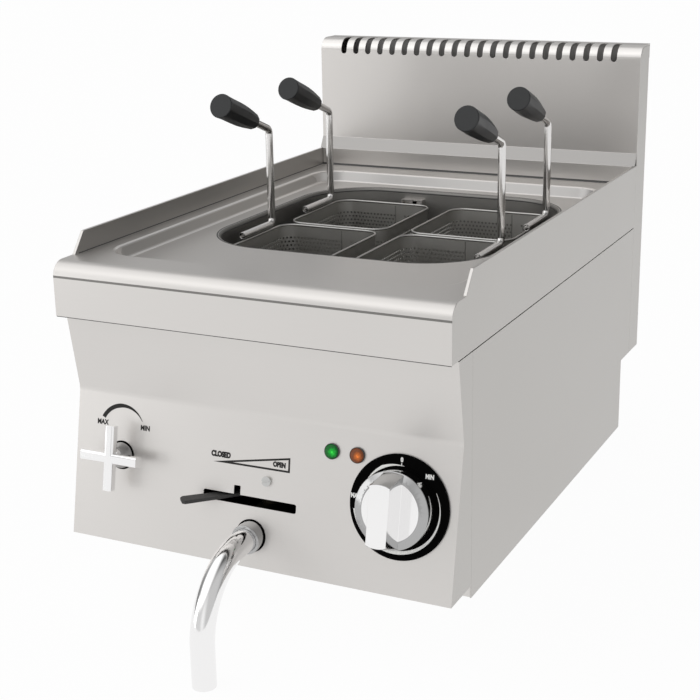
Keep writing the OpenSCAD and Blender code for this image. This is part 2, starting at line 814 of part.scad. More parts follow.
module tap_bonnet() color("whitesmoke") on_panel(tap_at, tap_z) rotate_extrude() polygon([
    [spindle_r + fit, -sheet], [bonnet_r, -sheet], [bonnet_r, bonnet_rim],
    [bonnet_neck + bonnet_rim / 2, bonnet_l - bonnet_rim], [bonnet_neck, bonnet_l],
    [spindle_r + fit, bonnet_l]
]);

module tap_spindle() color("silver") on_panel(tap_at, tap_z)
    translate([0, 0, tap_end + clear - tap_back])
        cylinder(r = spindle_r, h = tap_back - tap_end - clear + cross_z0);

module arm_outline() translate([0, arm_d / 2]) round_rect(arm_w, arm_d, arm_edge);

module tap_handle() color("whitesmoke") on_panel(tap_at, tap_z) {
    intersection() {
        for (a = [0, 90]) rotate([0, 0, a]) translate([-cross_span / 2, 0, cross_z0])
            rotate([90, 0, 90]) linear_extrude(cross_span) arm_outline();
        translate([0, 0, cross_z0 - over]) cylinder(d = cross_span, h = arm_d + 2 * over);
    }
    translate([0, 0, bonnet_l + clear]) difference() {
        cylinder(r = bonnet_neck, h = cross_gap + hub_sink);
        translate([0, 0, -over]) cylinder(r = spindle_r, h = over + cross_gap - clear);
    }
}

// Water lines: threaded inlet at the back, supply to the tap, and the line to the fill spout
module water_inlet() color("goldenrod") on_rear(water_at, service_z) difference() {
    union() {
        translate([0, 0, -sheet - inlet_tail]) cylinder(r = water_r, h = inlet_tail + sheet);
        cylinder(r = inlet_r + nut_edge, h = nut_h, $fn = 6);
        cylinder(r = inlet_r, h = nut_h + inlet_l);
    }
    translate([0, 0, -sheet - inlet_tail - over])
        cylinder(r = water_r - inlet_t, h = sheet + inlet_tail + nut_h + inlet_l + 2 * over);
}

module supply_pipe() color("peru") {
    port = tap_seat - [0, 0, tap_port_l];
    bent_tube([
        port, [port[0], port[1], service_z], [water_at, port[1] + line_shift, service_z],
        [water_at, recess_y - sheet - inlet_tail, service_z]
    ], 2 * water_r, 2 * (water_r - water_t), line_bend);
}

module fill_pipe() color("peru") {
    port = tap_seat + [0, tap_port_l, 0];
    high = fill_z + fill_lip_h / 2;
    bent_tube([
        port, port + [0, line_bend, 0], [water_at, port[1] + line_shift, port[2]],
        [water_at, rear_line_y, port[2]], [water_at, rear_line_y, high], [fill_x, rear_line_y, high],
        [fill_x, tank_back + sheet + fill_flange_t, high]
    ], 2 * water_r, 2 * (water_r - water_t), line_bend);
}

module fill_spout() color("lightgray") difference() {
    union() {
        translate([fill_x - fill_w / 2, tank_back - fill_lip_l, fill_z])
            cube([fill_w, fill_lip_l + sheet, fill_lip_h]);
        translate([fill_x - fill_w / 2 - fill_flange_x, tank_back + sheet, fill_z - fill_flange_z])
            cube([fill_w + 2 * fill_flange_x, fill_flange_t, fill_lip_h + 2 * fill_flange_z]);
    }
    translate([fill_x - fill_w / 2 + fill_lip_t, tank_back - fill_lip_l - over, fill_z + fill_lip_t])
        cube([fill_w - 2 * fill_lip_t, fill_lip_l + sheet + over, fill_lip_h - 2 * fill_lip_t]);
    translate([fill_x, tank_back, fill_z + fill_lip_h / 2]) rotate([-90, 0, 0])
        cylinder(r = fill_way_r, h = 4 * over);
}

// Drain: pipe from the tank's floor, ball valve, lever, collar and spout
module drain_pipe() color("silver") {
    bent_tube([
        [drain_x, drain_hole_y, tank_floor - sheet], [drain_x, drain_hole_y, drain_z],
        [drain_x, stem_y + valve_half, drain_z]
    ], 2 * pipe_r, 2 * (pipe_r - drain_t), drain_bend);
}

module valve_body() color("goldenrod") translate([drain_x, stem_y, drain_z]) difference() {
    union() {
        translate([0, -valve_half, 0]) rotate([-90, 0, 0]) cylinder(r = valve_r, h = 2 * valve_half);
        cylinder(r = boss_r, h = boss_top - drain_z);
    }
    translate([0, -valve_half - over, 0]) rotate([-90, 0, 0])
        cylinder(r = way_r, h = 2 * (valve_half + over));
    sphere(ball_r + clear);
    cylinder(r = stem_r + fit, h = boss_top - drain_z + over);
}

module valve_ball() color("lightgray") translate([drain_x, stem_y, drain_z]) {
    difference() {
        union() {
            sphere(ball_r);
            cylinder(r = stem_r, h = lever_z + lever_t / 2 + stem_end - drain_z);
        }
        translate([-2 * ball_r, 0, 0]) rotate([0, 90, 0]) cylinder(r = way_r, h = 4 * ball_r);
    }
    translate([0, 0, lever_z + lever_t / 2 - drain_z]) cylinder(r = boss_r, h = stem_nut_h, $fn = 6);
}

// Places children on the stem's axis at the lever's middle, with +X along the closed lever
module on_lever() translate([drain_x, stem_y, lever_z]) rotate([0, 0, 180 + lever_angle]) children();

module lever_arm(t) translate([0, 0, -t / 2]) linear_extrude(t) {
    circle(boss_r);
    translate([0, -arm_half]) square([lever_arm_l, 2 * arm_half]);
}

module drain_lever() color("silver") on_lever() difference() {
    lever_arm(lever_t);
    translate([0, 0, -over]) cylinder(r = stem_r, h = 2 * over);
}

module lever_grip() color("#3a3836") on_lever() difference() {
    translate([0, 0, -lever_grip_t / 2]) linear_extrude(lever_grip_t) polygon([
        [lever_grip_s, -arm_half - arm_cover], [lever_l, -lever_grip_w / 2],
        [lever_l, lever_grip_w / 2], [lever_grip_s, arm_half + arm_cover]
    ]);
    lever_arm(lever_t);
}

module drain_collar() color("whitesmoke") translate([drain_x, collar_back, drain_z]) rotate([90, 0, 0]) {
    collar_l = collar_back - panel_y(drain_z) + collar_out;
    difference() {
        cylinder(r = collar_r, h = collar_l);
        translate([0, 0, -over]) cylinder(d = spout_d, h = collar_l + 2 * over);
    }
}

module drain_spout() color("whitesmoke") {
    bent_tube([
        [drain_x, collar_back, drain_z], [drain_x, front - spout_out, drain_z],
        [drain_x, front - spout_out, -spout_down]
    ], spout_d, spout_d - 2 * spout_t, spout_bend);
}

// Heat control: printed bezel, chromed knob, shaft and case
module knob_bezel() color("#141414") on_panel(knob_at, knob_z) difference() {
    union() {
        cylinder(r = bezel_r, h = bezel_t);
        cylinder(r = knob_r + collar_edge, h = bezel_t + collar_up);
    }
    translate([0, 0, -over]) cylinder(r = bush_r + fit, h = 4 * over);
}

module control_knob() color("whitesmoke") on_panel(knob_at, knob_z) difference() {
    rim_low = disc_h - knob_rim_h;
    bar_r = knob_r - bar_in;
    union() {
        rotate_extrude() polygon([
            [0, knob_low], [knob_r, knob_low], [knob_r, rim_low], [knob_r - knob_rim_w, disc_h], [0, disc_h]
        ]);
        intersection() {
            translate([-bar_w / 2, -knob_r, rim_low]) cube([bar_w, 2 * knob_r, bar_h - rim_low]);
            rotate_extrude()
                polygon([[0, rim_low], [bar_r, rim_low], [bar_r - bar_taper, bar_h], [0, bar_h]]);
        }
    }
    translate([0, 0, knob_low - over]) cylinder(r = shaft_r, h = over + knob_bore);
}

module control_case() color("dimgray") on_panel(knob_at, knob_z) difference() {
    union() {
        translate([-case_w / 2, -case_w / 2, -case_back]) cube([case_w, case_w, case_d]);
        translate([0, 0, -sheet - bush_h]) cylinder(r = bush_r, h = sheet + bush_h + bezel_t);
    }
    translate([0, 0, case_seat - case_back]) cylinder(r = shaft_r + fit, h = case_d + over);
}

module control_shaft() color("silver") on_panel(knob_at, knob_z)
    translate([0, 0, case_seat + shaft_play - case_back])
        cylinder(r = shaft_r, h = case_back - case_seat - shaft_play + knob_low + knob_bore);

// Lamps
module lens() {
    sphere_r = (lens_r * lens_r + lens_h * lens_h) / (2 * lens_h);
    half = asin(lens_r / sphere_r);
    rotate_extrude() polygon(concat(
        [[0, -lens_neck_l], [lens_neck_r, -lens_neck_l], [lens_neck_r, 0], [lens_r, 0]],
        arc([0, lens_rim + lens_h - sphere_r], sphere_r, 90 - half, 90)
    ));
}

module lamp_green() color("limegreen") on_panel(lamp_at, lamp_z) lens();

module lamp_orange() color("orangered") on_panel(lamp_at + lamp_pitch, lamp_z) lens();

module lamp_holders() color("dimgray")
    for (i = [0, 1]) on_panel(lamp_at + i * lamp_pitch, lamp_z) difference() {
        translate([0, 0, -holder_l]) cylinder(r = lens_r + holder_t, h = holder_l - sheet);
        translate([0, 0, -lens_neck_l]) cylinder(r = lens_neck_r, h = lens_neck_l + over);
    }

// Slotted screw that holds the valve's bracket to the panel
module panel_screw() color("lightgray") on_panel(screw_at, screw_z) difference() {
    union() {
        cylinder(r = screw_r, h = screw_h);
        translate([0, 0, -screw_shank_l]) cylinder(r = screw_shank_r, h = screw_shank_l + screw_h / 2);
    }
    rotate([0, 0, 12]) translate([-screw_r - over, -screw_slot / 2, screw_h / 2])
        cube([2 * (screw_r + over), screw_slot, screw_h]);
}

// Electrical entry: terminal block on the base pan, cable gland and earth stud in the rear panel
module terminal_block() color("ivory")
    translate([cable_at - block_w / 2, recess_y - block_in, sheet]) difference() {
        cube([block_w, block_d, block_h]);
        for (i = [0:block_holes - 1])
            translate([block_w * (i + 0.5) / block_holes, block_d / 2, block_h - block_hole_h])
                cylinder(r = block_hole_r, h = block_hole_h + over);
    }

module cable_gland() color("#2a2a2a") on_rear(cable_at, service_z) difference() {
    union() {
        translate([0, 0, -sheet - gland_tail]) cylinder(r = gland_r, h = sheet + gland_tail);
        translate([0, 0, -sheet - nut_h]) cylinder(r = gland_r + gland_edge, h = nut_h, $fn = 6);
        cylinder(r = gland_r + gland_edge, h = nut_h, $fn = 6);
        translate([0, 0, nut_h]) cylinder(r1 = gland_r + gland_foot, r2 = gland_r + gland_tip, h = gland_cap);
    }
    translate([0, 0, -sheet - gland_tail - over])
        cylinder(r = cable_r, h = sheet + gland_tail + nut_h + gland_cap + 2 * over);
}

module earth_stud() color("goldenrod") on_rear(stud_at, service_z) {
    translate([0, 0, -sheet - stud_tail]) cylinder(r = stud_r, h = sheet + stud_tail + stud_l);
    for (z = [0, -sheet - stud_nut_h]) translate([0, 0, z])
        cylinder(r = stud_r + stud_nut_edge, h = stud_nut_h, $fn = 6);
}

// Baskets: sx and sy pick the side and the row
module basket_shell(sx, sy) color("#55534f") translate([sx * basket_dx, tank_y + sy * basket_dy, 0]) {
    slim = rim_d - basket_t;
    lost = slim + 2 * basket_t;
    difference() {
        translate([0, 0, basket_z]) linear_extrude(rim_z - basket_z)
            round_rect(basket_w - slim, basket_l - slim, basket_r - slim / 2);
        translate([0, 0, basket_z + basket_t]) linear_extrude(basket_h)
            round_rect(basket_w - lost, basket_l - lost, basket_r - lost / 2);
    }
    ring_sweep(basket_w, basket_l, basket_r) translate([rim_d / 2, rim_z]) circle(d = rim_d);
}

grip_dir = [0, -cos(grip_slope), sin(grip_slope)];
function rod_top(sx, sy) = [sx * rod_x, tank_y + sy * basket_dy + rod_back, rod_z + rod_h];

module basket_rod(sx, sy) color("whitesmoke") {
    top = rod_top(sx, sy);
    middle = tank_y + sy * basket_dy;
    bent_rod([
        [top[0], middle - rod_front, rod_z], [top[0], top[1], rod_z], top,
        top + (rod_free + grip_seat) * grip_dir
    ], rod_d, rod_bend);
}

module basket_grip(sx, sy) color("#242424")
    translate(rod_top(sx, sy) + rod_free * grip_dir) point_along(grip_dir) rotate_extrude() {
        steps = 10;
        side = grip_l - 2 * grip_edge;
        swell = (grip_d1 - grip_d0) / 2;
        polygon(concat(
            [[rod_d / 2, 0], [grip_d0 / 2 - grip_edge, 0]],
            [for (i = [0:steps]) [grip_d0 / 2 + swell * sin(90 * i / steps), grip_edge + side * i / steps]],
            [[grip_d1 / 2 - grip_edge, grip_l], [0, grip_l], [0, grip_seat], [rod_d / 2, grip_seat]]
        ));
    }

module basket_front_left() basket_shell(-1, -1);
module basket_front_left_rod() basket_rod(-1, -1);
module basket_front_left_grip() basket_grip(-1, -1);
module basket_front_right() basket_shell(1, -1);
module basket_front_right_rod() basket_rod(1, -1);
module basket_front_right_grip() basket_grip(1, -1);
module basket_rear_left() basket_shell(-1, 1);
module basket_rear_left_rod() basket_rod(-1, 1);
module basket_rear_left_grip() basket_grip(-1, 1);
module basket_rear_right() basket_shell(1, 1);
module basket_rear_right_rod() basket_rod(1, 1);
module basket_rear_right_grip() basket_grip(1, 1);

worktop();
splashback();
flue_shell();
flue_back();
back_screws();
side_panel_left();
side_panel_right();
front_panel();
base_pan();
rear_panel();
tank();
basket_rest();
heating_tubes();
heating_flange();
sensing_bulb();
capillary();
tap_body();
tap_bonnet();
tap_spindle();
tap_handle();
water_inlet();
supply_pipe();
fill_pipe();
fill_spout();
drain_pipe();
valve_body();
valve_ball();
drain_lever();
lever_grip();
drain_collar();
drain_spout();
knob_bezel();
control_knob();
control_case();
control_shaft();
lamp_green();
lamp_orange();
lamp_holders();
panel_screw();
terminal_block();
cable_gland();
earth_stud();
basket_front_left();
basket_front_left_rod();
basket_front_left_grip();
basket_front_right();
basket_front_right_rod();
basket_front_right_grip();
basket_rear_left();
basket_rear_left_rod();
basket_rear_left_grip();
basket_rear_right();
basket_rear_right_rod();
basket_rear_right_grip();
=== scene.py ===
import math

import bmesh
import bpy
from mathutils import Matrix, Vector


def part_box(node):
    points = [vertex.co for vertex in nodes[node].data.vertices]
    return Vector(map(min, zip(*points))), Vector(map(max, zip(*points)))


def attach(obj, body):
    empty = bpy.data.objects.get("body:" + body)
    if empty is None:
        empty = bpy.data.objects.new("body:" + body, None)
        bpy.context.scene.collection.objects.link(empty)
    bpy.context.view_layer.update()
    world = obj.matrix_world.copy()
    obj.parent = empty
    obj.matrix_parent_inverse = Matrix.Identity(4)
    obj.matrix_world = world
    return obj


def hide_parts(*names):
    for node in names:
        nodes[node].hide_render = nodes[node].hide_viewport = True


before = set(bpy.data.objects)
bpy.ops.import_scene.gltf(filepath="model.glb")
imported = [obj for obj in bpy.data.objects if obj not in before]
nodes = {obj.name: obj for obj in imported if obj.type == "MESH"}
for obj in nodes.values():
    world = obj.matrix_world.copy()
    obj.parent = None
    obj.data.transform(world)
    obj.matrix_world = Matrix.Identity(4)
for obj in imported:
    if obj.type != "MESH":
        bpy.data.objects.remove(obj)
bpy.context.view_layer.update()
MM = 0.001
UP = Vector((0, 0, 1))

# Lengths within NEAR millimetres are equal, and edges past SHARP degrees stay crisp
NEAR = 1e-3
SHARP = 32.0

# Sizes shared with the solids, in millimetres
PANEL_FRONT, PANEL_LOW = -300.0, 12.7
CREASE_Z, CREASE_IN = 154.7, 28.5
LEAN = math.atan2(CREASE_IN, CREASE_Z - PANEL_LOW)
SHEET, WALL_T, WALL_START = 1.5, 3.0, 32.0
TANK_R, LIP_R = 74.0, 3.0
TAP, DRAIN, KNOB = (-148.0, 96.0), (-2.0, 42.4), (144.6, 92.4)
LAMP_GREEN, LAMP_ORANGE = (75.6, 131.6), (100.7, 131.6)
LENS_R, LENS_H = 7.25, 4.0
BEZEL_T = 2.5
LEVER_STEM, LEVER_ANGLE, LEVER_L = (-2.0, -253.0, 73.8), math.radians(43), 86.0
RIM_D, BASKET_R = 3.6, 19.0
ROD_D, ROD_BEND, ROD_BACK, ROD_H, ROD_FREE = 8.0, 7.0, 42.5, 103.0, 35.0
GRIP_SLOPE, GRIP_L, GRIP_D0, GRIP_D1, GRIP_SEAT = math.radians(21), 70.0, 17.5, 25.0, 30.0
SEAM_AT, SEAM_W = 12.0, 10.0
BASKETS = ("front_left", "front_right", "rear_left", "rear_right")


def box_mm(node):
    """The low and high corners of a solid's box, in millimetres."""
    low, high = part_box(node)
    return Vector(low) / MM, Vector(high) / MM


def plan_middle(low, high):
    """The middle of a box in plan."""
    return Vector(((low.x + high.x) / 2, (low.y + high.y) / 2, 0))


def panel_point(x, z, out=0.0):
    """A point before the front panel's lower face, in millimetres."""
    y = PANEL_FRONT + (z - PANEL_LOW) * math.tan(LEAN) - out * math.cos(LEAN)
    return Vector((x, y, z + out * math.sin(LEAN)))


def on_panel(x, z, out=0.0):
    """A millimetre frame on the lower face: X to the right, Y up the panel, Z out of it."""
    across = Vector((1, 0, 0))
    up = Vector((0, math.sin(LEAN), math.cos(LEAN)))
    turn = Matrix((across, up, across.cross(up))).transposed()
    return Matrix.LocRotScale(panel_point(x, z, out), turn, None)


PANEL_OUT = on_panel(0, 0).to_3x3() @ UP


# Materials

def node_tree(material):
    """The emptied node tree of a new material."""
    material.use_nodes = True
    tree = material.node_tree
    tree.nodes.clear()
    return tree


def add(tree, kind, **values):
    """A node with its settings, where a key that names an input sets that input."""
    node = tree.nodes.new(kind)
    for key, value in values.items():
        if hasattr(node, key):
            setattr(node, key, value)
        else:
            node.inputs[key.replace("_", " ")].default_value = value
    return node


def link(tree, a, out, b, into):
    """Joins one node's output to another node's input."""
    tree.links.new(a.outputs[out], b.inputs[into])


def math_node(tree, operation, *operands):
    """A sum on values, where each operand is a number or a node with its output's name."""
    node = add(tree, "ShaderNodeMath", operation=operation)
    for i, operand in enumerate(operands):
        if isinstance(operand, tuple):
            link(tree, operand[0], operand[1], node, i)
        else:
            node.inputs[i].default_value = operand
    return node


def group_with(name, kind, inputs, outputs):
    """An empty node group with named sockets, and its two end nodes."""
    group = bpy.data.node_groups.new(name, kind)
    for label, socket_kind, value in inputs:
        socket = group.interface.new_socket(label, in_out="INPUT", socket_type=socket_kind)
        if value is not None:
            socket.default_value = value
    for label, socket_kind in outputs:
        group.interface.new_socket(label, in_out="OUTPUT", socket_type=socket_kind)
    return group, group.nodes.new("NodeGroupInput"), group.nodes.new("NodeGroupOutput")


def make_rolled_grain():
    """Fine lines left by rolling and brushing, with slow clouding of the finish."""
    group, given, result = group_with(
        "rolled_grain", "ShaderNodeTree",
        [("Stretch", "NodeSocketVector", (30.0, 1500.0, 1500.0)), ("Clouding", "NodeSocketFloat", 7.0),
         ("Tone", "NodeSocketColor", (0.6, 0.6, 0.6, 1)), ("Tone spread", "NodeSocketFloat", 0.03),
         ("Roughness", "NodeSocketFloat", 0.4), ("Roughness spread", "NodeSocketFloat", 0.05)],
        [("Color", "NodeSocketColor"), ("Roughness", "NodeSocketFloat"), ("Height", "NodeSocketFloat")])
    coords = add(group, "ShaderNodeTexCoord")
    stretch = add(group, "ShaderNodeVectorMath", operation="MULTIPLY")
    link(group, coords, "Object", stretch, 0)
    link(group, given, "Stretch", stretch, 1)
    lines = add(group, "ShaderNodeTexNoise", Scale=1.0, Detail=3.0, Roughness=0.6)
    link(group, stretch, 0, lines, "Vector")
    clouds = add(group, "ShaderNodeTexNoise", Detail=2.0, Roughness=0.5)
    link(group, coords, "Object", clouds, "Vector")
    link(group, given, "Clouding", clouds, "Scale")
    both = math_node(group, "ADD", (lines, "Fac"), (clouds, "Fac"))
    centred = math_node(group, "SUBTRACT", (both, 0), 1.0)
    shade = math_node(group, "MULTIPLY_ADD", (centred, 0), (given, "Tone spread"), 1.0)
    toned = add(group, "ShaderNodeVectorMath", operation="SCALE")
    link(group, given, "Tone", toned, 0)
    link(group, shade, 0, toned, "Scale")
    spread = (given, "Roughness spread")
    rough = math_node(group, "MULTIPLY_ADD", (centred, 0), spread, (given, "Roughness"))
    link(group, toned, 0, result, "Color")
    link(group, rough, 0, result, "Roughness")
    link(group, lines, "Fac", result, "Height")
    return group


def make_moulded_skin():
    """The fine pebbling of moulded plastic, with faint handling shine."""
    group, given, result = group_with(
        "moulded_skin", "ShaderNodeTree",
        [("Tone", "NodeSocketColor", (0.03, 0.03, 0.03, 1)), ("Pebble", "NodeSocketFloat", 2500.0),
         ("Roughness", "NodeSocketFloat", 0.45), ("Shine spread", "NodeSocketFloat", 0.1)],
        [("Color", "NodeSocketColor"), ("Roughness", "NodeSocketFloat"), ("Height", "NodeSocketFloat")])
    coords = add(group, "ShaderNodeTexCoord")
    pebble = add(group, "ShaderNodeTexNoise", Detail=2.0)
    link(group, coords, "Object", pebble, "Vector")
    link(group, given, "Pebble", pebble, "Scale")
    worn = add(group, "ShaderNodeTexNoise", Scale=45.0, Detail=2.0)
    link(group, coords, "Object", worn, "Vector")
    centred = math_node(group, "SUBTRACT", (worn, "Fac"), 0.5)
    rough = math_node(group, "MULTIPLY_ADD", (centred, 0), (given, "Shine spread"), (given, "Roughness"))
    shade = math_node(group, "MULTIPLY_ADD", (pebble, "Fac"), 0.3, 0.85)
    toned = add(group, "ShaderNodeVectorMath", operation="SCALE")
    link(group, given, "Tone", toned, 0)
    link(group, shade, 0, toned, "Scale")
    link(group, toned, 0, result, "Color")
    link(group, rough, 0, result, "Roughness")
    link(group, pebble, "Fac", result, "Height")
    return group


rolled_grain = make_rolled_grain()
moulded_skin = make_moulded_skin()


def finish(name, group, bump, grain, shader_values):
    """A material whose colour, roughness and surface come from a shared group."""
    material = bpy.data.materials.new(name)
    tree = node_tree(material)
    out = add(tree, "ShaderNodeOutputMaterial")
    shader = add(tree, "ShaderNodeBsdfPrincipled")
    surface = add(tree, "ShaderNodeGroup", node_tree=group)
    ridge = add(tree, "ShaderNodeBump", Strength=bump, Distance=0.0002)
    for key, value in grain.items():
        surface.inputs[key].default_value = value
    for key, value in shader_values.items():
        shader.inputs[key].default_value = value
    link(tree, surface, "Color", shader, "Base Color")
    link(tree, surface, "Roughness", shader, "Roughness")
    link(tree, surface, "Height", ridge, "Height")
    link(tree, ridge, "Normal", shader, "Normal")
    link(tree, shader, 0, out, 0)
    return material


def steel(name, tone, rough, stretch, spread=0.03, rough_spread=0.05, bump=0.02):
    """A bare metal with rolled or brushed grain."""
    return finish(name, rolled_grain, bump,
                  {"Stretch": stretch, "Tone": (*tone, 1), "Tone spread": spread, "Roughness": rough,
                   "Roughness spread": rough_spread}, {"Metallic": 1.0})


def plastic(name, tone, rough, bump=0.05, sheen=0.5):
    """A moulded plastic, where sheen is the strength of its reflections."""
    return finish(name, moulded_skin, bump, {"Tone": (*tone, 1), "Roughness": rough},
                  {"Specular IOR Level": sheen})


def lens(name, edge, body, glow):
    """A tinted lamp lens with a pressed diamond pattern, brighter toward its middle."""
    material = bpy.data.materials.new(name)
    tree = node_tree(material)
    out = add(tree, "ShaderNodeOutputMaterial")
    shader = add(tree, "ShaderNodeBsdfPrincipled", Roughness=0.3)
    shader.inputs["Specular IOR Level"].default_value = 0.25
    middle = add(tree, "ShaderNodeAttribute", attribute_name="middle")
    coords = add(tree, "ShaderNodeTexCoord")
    cells = add(tree, "ShaderNodeTexVoronoi", Scale=520.0)
    link(tree, coords, "Object", cells, "Vector")
    spread = math_node(tree, "MULTIPLY_ADD", (cells, "Distance"), -0.35, (middle, "Fac"))
    tint = add(tree, "ShaderNodeValToRGB")
    ramp = tint.color_ramp
    ramp.elements[0].position, ramp.elements[0].color = 0.1, (*edge, 1)
    ramp.elements[1].position, ramp.elements[1].color = 0.9, (*glow, 1)
    ramp.elements.new(0.55).color = (*body, 1)
    link(tree, spread, 0, tint, "Fac")
    ridge = add(tree, "ShaderNodeBump", Strength=0.4, Distance=0.0004)
    link(tree, cells, "Distance", ridge, "Height")
    link(tree, tint, "Color", shader, "Base Color")
    link(tree, tint, "Color", shader, "Emission Color")
    shader.inputs["Emission Strength"].default_value = 0.55
    link(tree, ridge, "Normal", shader, "Normal")
    link(tree, shader, 0, out, 0)
    return material


ALONG_X = (25.0, 1400.0, 1400.0)
ALONG_Y = (1400.0, 25.0, 1400.0)
EVEN = (400.0, 400.0, 400.0)

satin_sheet = steel("satin_sheet", (0.67, 0.65, 0.63), 0.40, ALONG_X)
# A darker copy of the satin steel for faces that look sideways: painted shade.
side_shade_sheet = steel("side_shade_sheet", (0.54, 0.525, 0.505), 0.40, ALONG_Y)
splash_sheet = steel("splash_sheet", (0.60, 0.58, 0.56), 0.38, ALONG_X)
# Darker copies for the faces that slope up at the rear: painted shade on the well's step and on the band
# above the splash's foot.
step_shade_sheet = steel("step_shade_sheet", (0.44, 0.43, 0.42), 0.40, ALONG_X)
band_shade_sheet = steel("band_shade_sheet", (0.36, 0.35, 0.34), 0.40, ALONG_X)
# A lighter copy for the cap's rolled nose: a painted highlight.
nose_highlight_sheet = steel("nose_highlight_sheet", (0.78, 0.76, 0.74), 0.38, ALONG_X)
# A lighter, glossier copy for the bends along the well's sides: painted highlight lines.
bend_highlight_sheet = steel("bend_highlight_sheet", (0.86, 0.84, 0.82), 0.30, ALONG_Y)
# A dark copy for the rolled lip of the tank's mouth: painted shade.
lip_shade_sheet = steel("lip_shade_sheet", (0.22, 0.215, 0.205), 0.45, EVEN)
# A darker copy for the inside of the flue seen through the slots: painted shade.
flue_shade_sheet = steel("flue_shade_sheet", (0.43, 0.42, 0.41), 0.5, EVEN)
tank_sheet = steel("tank_sheet", (0.36, 0.35, 0.335), 0.45, EVEN)
basket_sheet = steel("basket_sheet", (0.56, 0.55, 0.525), 0.45, EVEN)
basket_rim = steel("basket_rim", (0.46, 0.455, 0.44), 0.34, EVEN)
polished_rod = steel("polished_rod", (0.72, 0.71, 0.70), 0.12, EVEN, 0.02, 0.03, 0.0)
bright_chrome = steel("bright_chrome", (0.89, 0.885, 0.885), 0.10, EVEN, 0.01, 0.03, 0.0)
# A darker copy of the chrome: a painted reflection of dark surroundings, on the collar, the bonnet and
# the knob's sloping ring.
shaded_chrome = steel("shaded_chrome", (0.42, 0.42, 0.42), 0.14, EVEN, 0.01, 0.03, 0.0)
plain_steel = steel("plain_steel", (0.55, 0.55, 0.54), 0.35, EVEN)
turned_brass = steel("turned_brass", (0.62, 0.45, 0.20), 0.28, EVEN, 0.05)
dulled_brass = steel("dulled_brass", (0.10, 0.088, 0.066), 0.5, EVEN, 0.08)
drawn_copper = steel("drawn_copper", (0.66, 0.36, 0.22), 0.30, EVEN, 0.06)
black_handle = plastic("black_handle", (0.018, 0.019, 0.020), 0.40, 0.05, 0.42)
lever_cover = plastic("lever_cover", (0.046, 0.045, 0.044), 0.55, 0.05, 0.3)
bezel_black = plastic("bezel_black", (0.0015, 0.0015, 0.0015), 0.7, 0.01, 0.02)
dark_plastic = plastic("dark_plastic", (0.05, 0.05, 0.05), 0.5)
pale_plastic = plastic("pale_plastic", (0.74, 0.71, 0.62), 0.5)
# White for the print, used also for a painted highlight on the bezel.
white_print_and_highlight = plastic("white_print_and_highlight", (0.85, 0.85, 0.83), 0.5, 0.01)
print_dark = plastic("print_dark", (0.035, 0.034, 0.033), 0.6, 0.01, 0.1)
green_lens = lens("green_lens", (0.0, 0.08, 0.01), (0.005, 0.32, 0.025), (0.05, 0.66, 0.07))
orange_lens = lens("orange_lens", (0.12, 0.035, 0.012), (0.36, 0.09, 0.018), (0.80, 0.22, 0.04))


# Mesh helpers

def mesh_of(bm, name):
    """A mesh made of a finished bmesh."""
    mesh = bpy.data.meshes.new(name)
    bm.to_mesh(mesh)
    bm.free()
    return mesh


def welded(node, merge=4e-6):
    """A joined-up working copy of a solid's mesh, with its flat faces whole."""
    bm = bmesh.new()
    bm.from_mesh(nodes[node].data)
    bmesh.ops.remove_doubles(bm, verts=bm.verts, dist=merge)
    bmesh.ops.dissolve_degenerate(bm, dist=merge, edges=bm.edges)
    bmesh.ops.dissolve_limit(bm, angle_limit=math.radians(0.15), use_dissolve_boundaries=False,
                             verts=bm.verts, edges=bm.edges)
    return bm


def evaluated(name, mesh, *modifiers):
    """The mesh with modifiers applied, as a plain mesh."""
    obj = bpy.data.objects.new(name + "_work", mesh)
    bpy.context.scene.collection.objects.link(obj)
    for kind, values in modifiers:
        m = obj.modifiers.new(kind.lower(), kind)
        for key, value in values.items():
            if hasattr(m, key):
                setattr(m, key, value)
            else:
                m[key] = value
    done = bpy.data.meshes.new_from_object(obj.evaluated_get(bpy.context.evaluated_depsgraph_get()))
    bpy.data.objects.remove(obj)
    return done


def shade_by_angle(mesh, sharp=SHARP):
    """Smooth faces that stay crisp at edges sharper than the angle, with flat faces kept flat."""
    bm = bmesh.new()
    bm.from_mesh(mesh)
    for f in bm.faces:
        f.smooth = True
    for e in bm.edges:
        e.smooth = not (len(e.link_faces) == 2 and e.calc_face_angle(0) > math.radians(sharp))
    bm.to_mesh(mesh)
    bm.free()
    return evaluated("shade", mesh, ("WEIGHTED_NORMAL", {"keep_sharp": True, "weight": 60}))


def rounded(name, bm, width, segments=2, angle=SHARP):
    """A mesh whose edges are rounded to a width in millimetres."""
    mesh = mesh_of(bm, name)
    if width:
        mesh = evaluated(name, mesh, ("BEVEL", {
            "width": width * MM, "segments": segments, "limit_method": "ANGLE",
            "angle_limit": math.radians(angle), "use_clamp_overlap": True, "miter_outer": "MITER_ARC"}))
    return shade_by_angle(mesh, angle)


def place(name, mesh, material, body, slot, *stands_for):
    """Puts a finished mesh in the scene, on its body, in place of the solids it stands for."""
    mesh.materials.clear()
    mesh.materials.append(material)
    mesh.name = name
    obj = bpy.data.objects.new(name, mesh)
    bpy.context.scene.collection.objects.link(obj)
    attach(obj, body)
    if stands_for:
        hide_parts(*stands_for)
    return obj


def dress(node, material, body, slot, width=0.0, segments=2, angle=SHARP):
    """A solid with its edges rounded and its curves smooth."""
    mesh = rounded(node, welded(node), width, segments, angle)
    return place(node + "_dressed", mesh, material, body, slot, node)


def repaint(obj, material, chosen):
    """Gives the chosen faces of a placed mesh another finish."""
    index = len(obj.data.materials)
    obj.data.materials.append(material)
    for f in obj.data.polygons:
        if chosen(f.normal, f.center / MM):
            f.material_index = index


def faces_sideways(normal, at):
    """Whether a face looks left or right."""
    return abs(normal.x) > 0.9


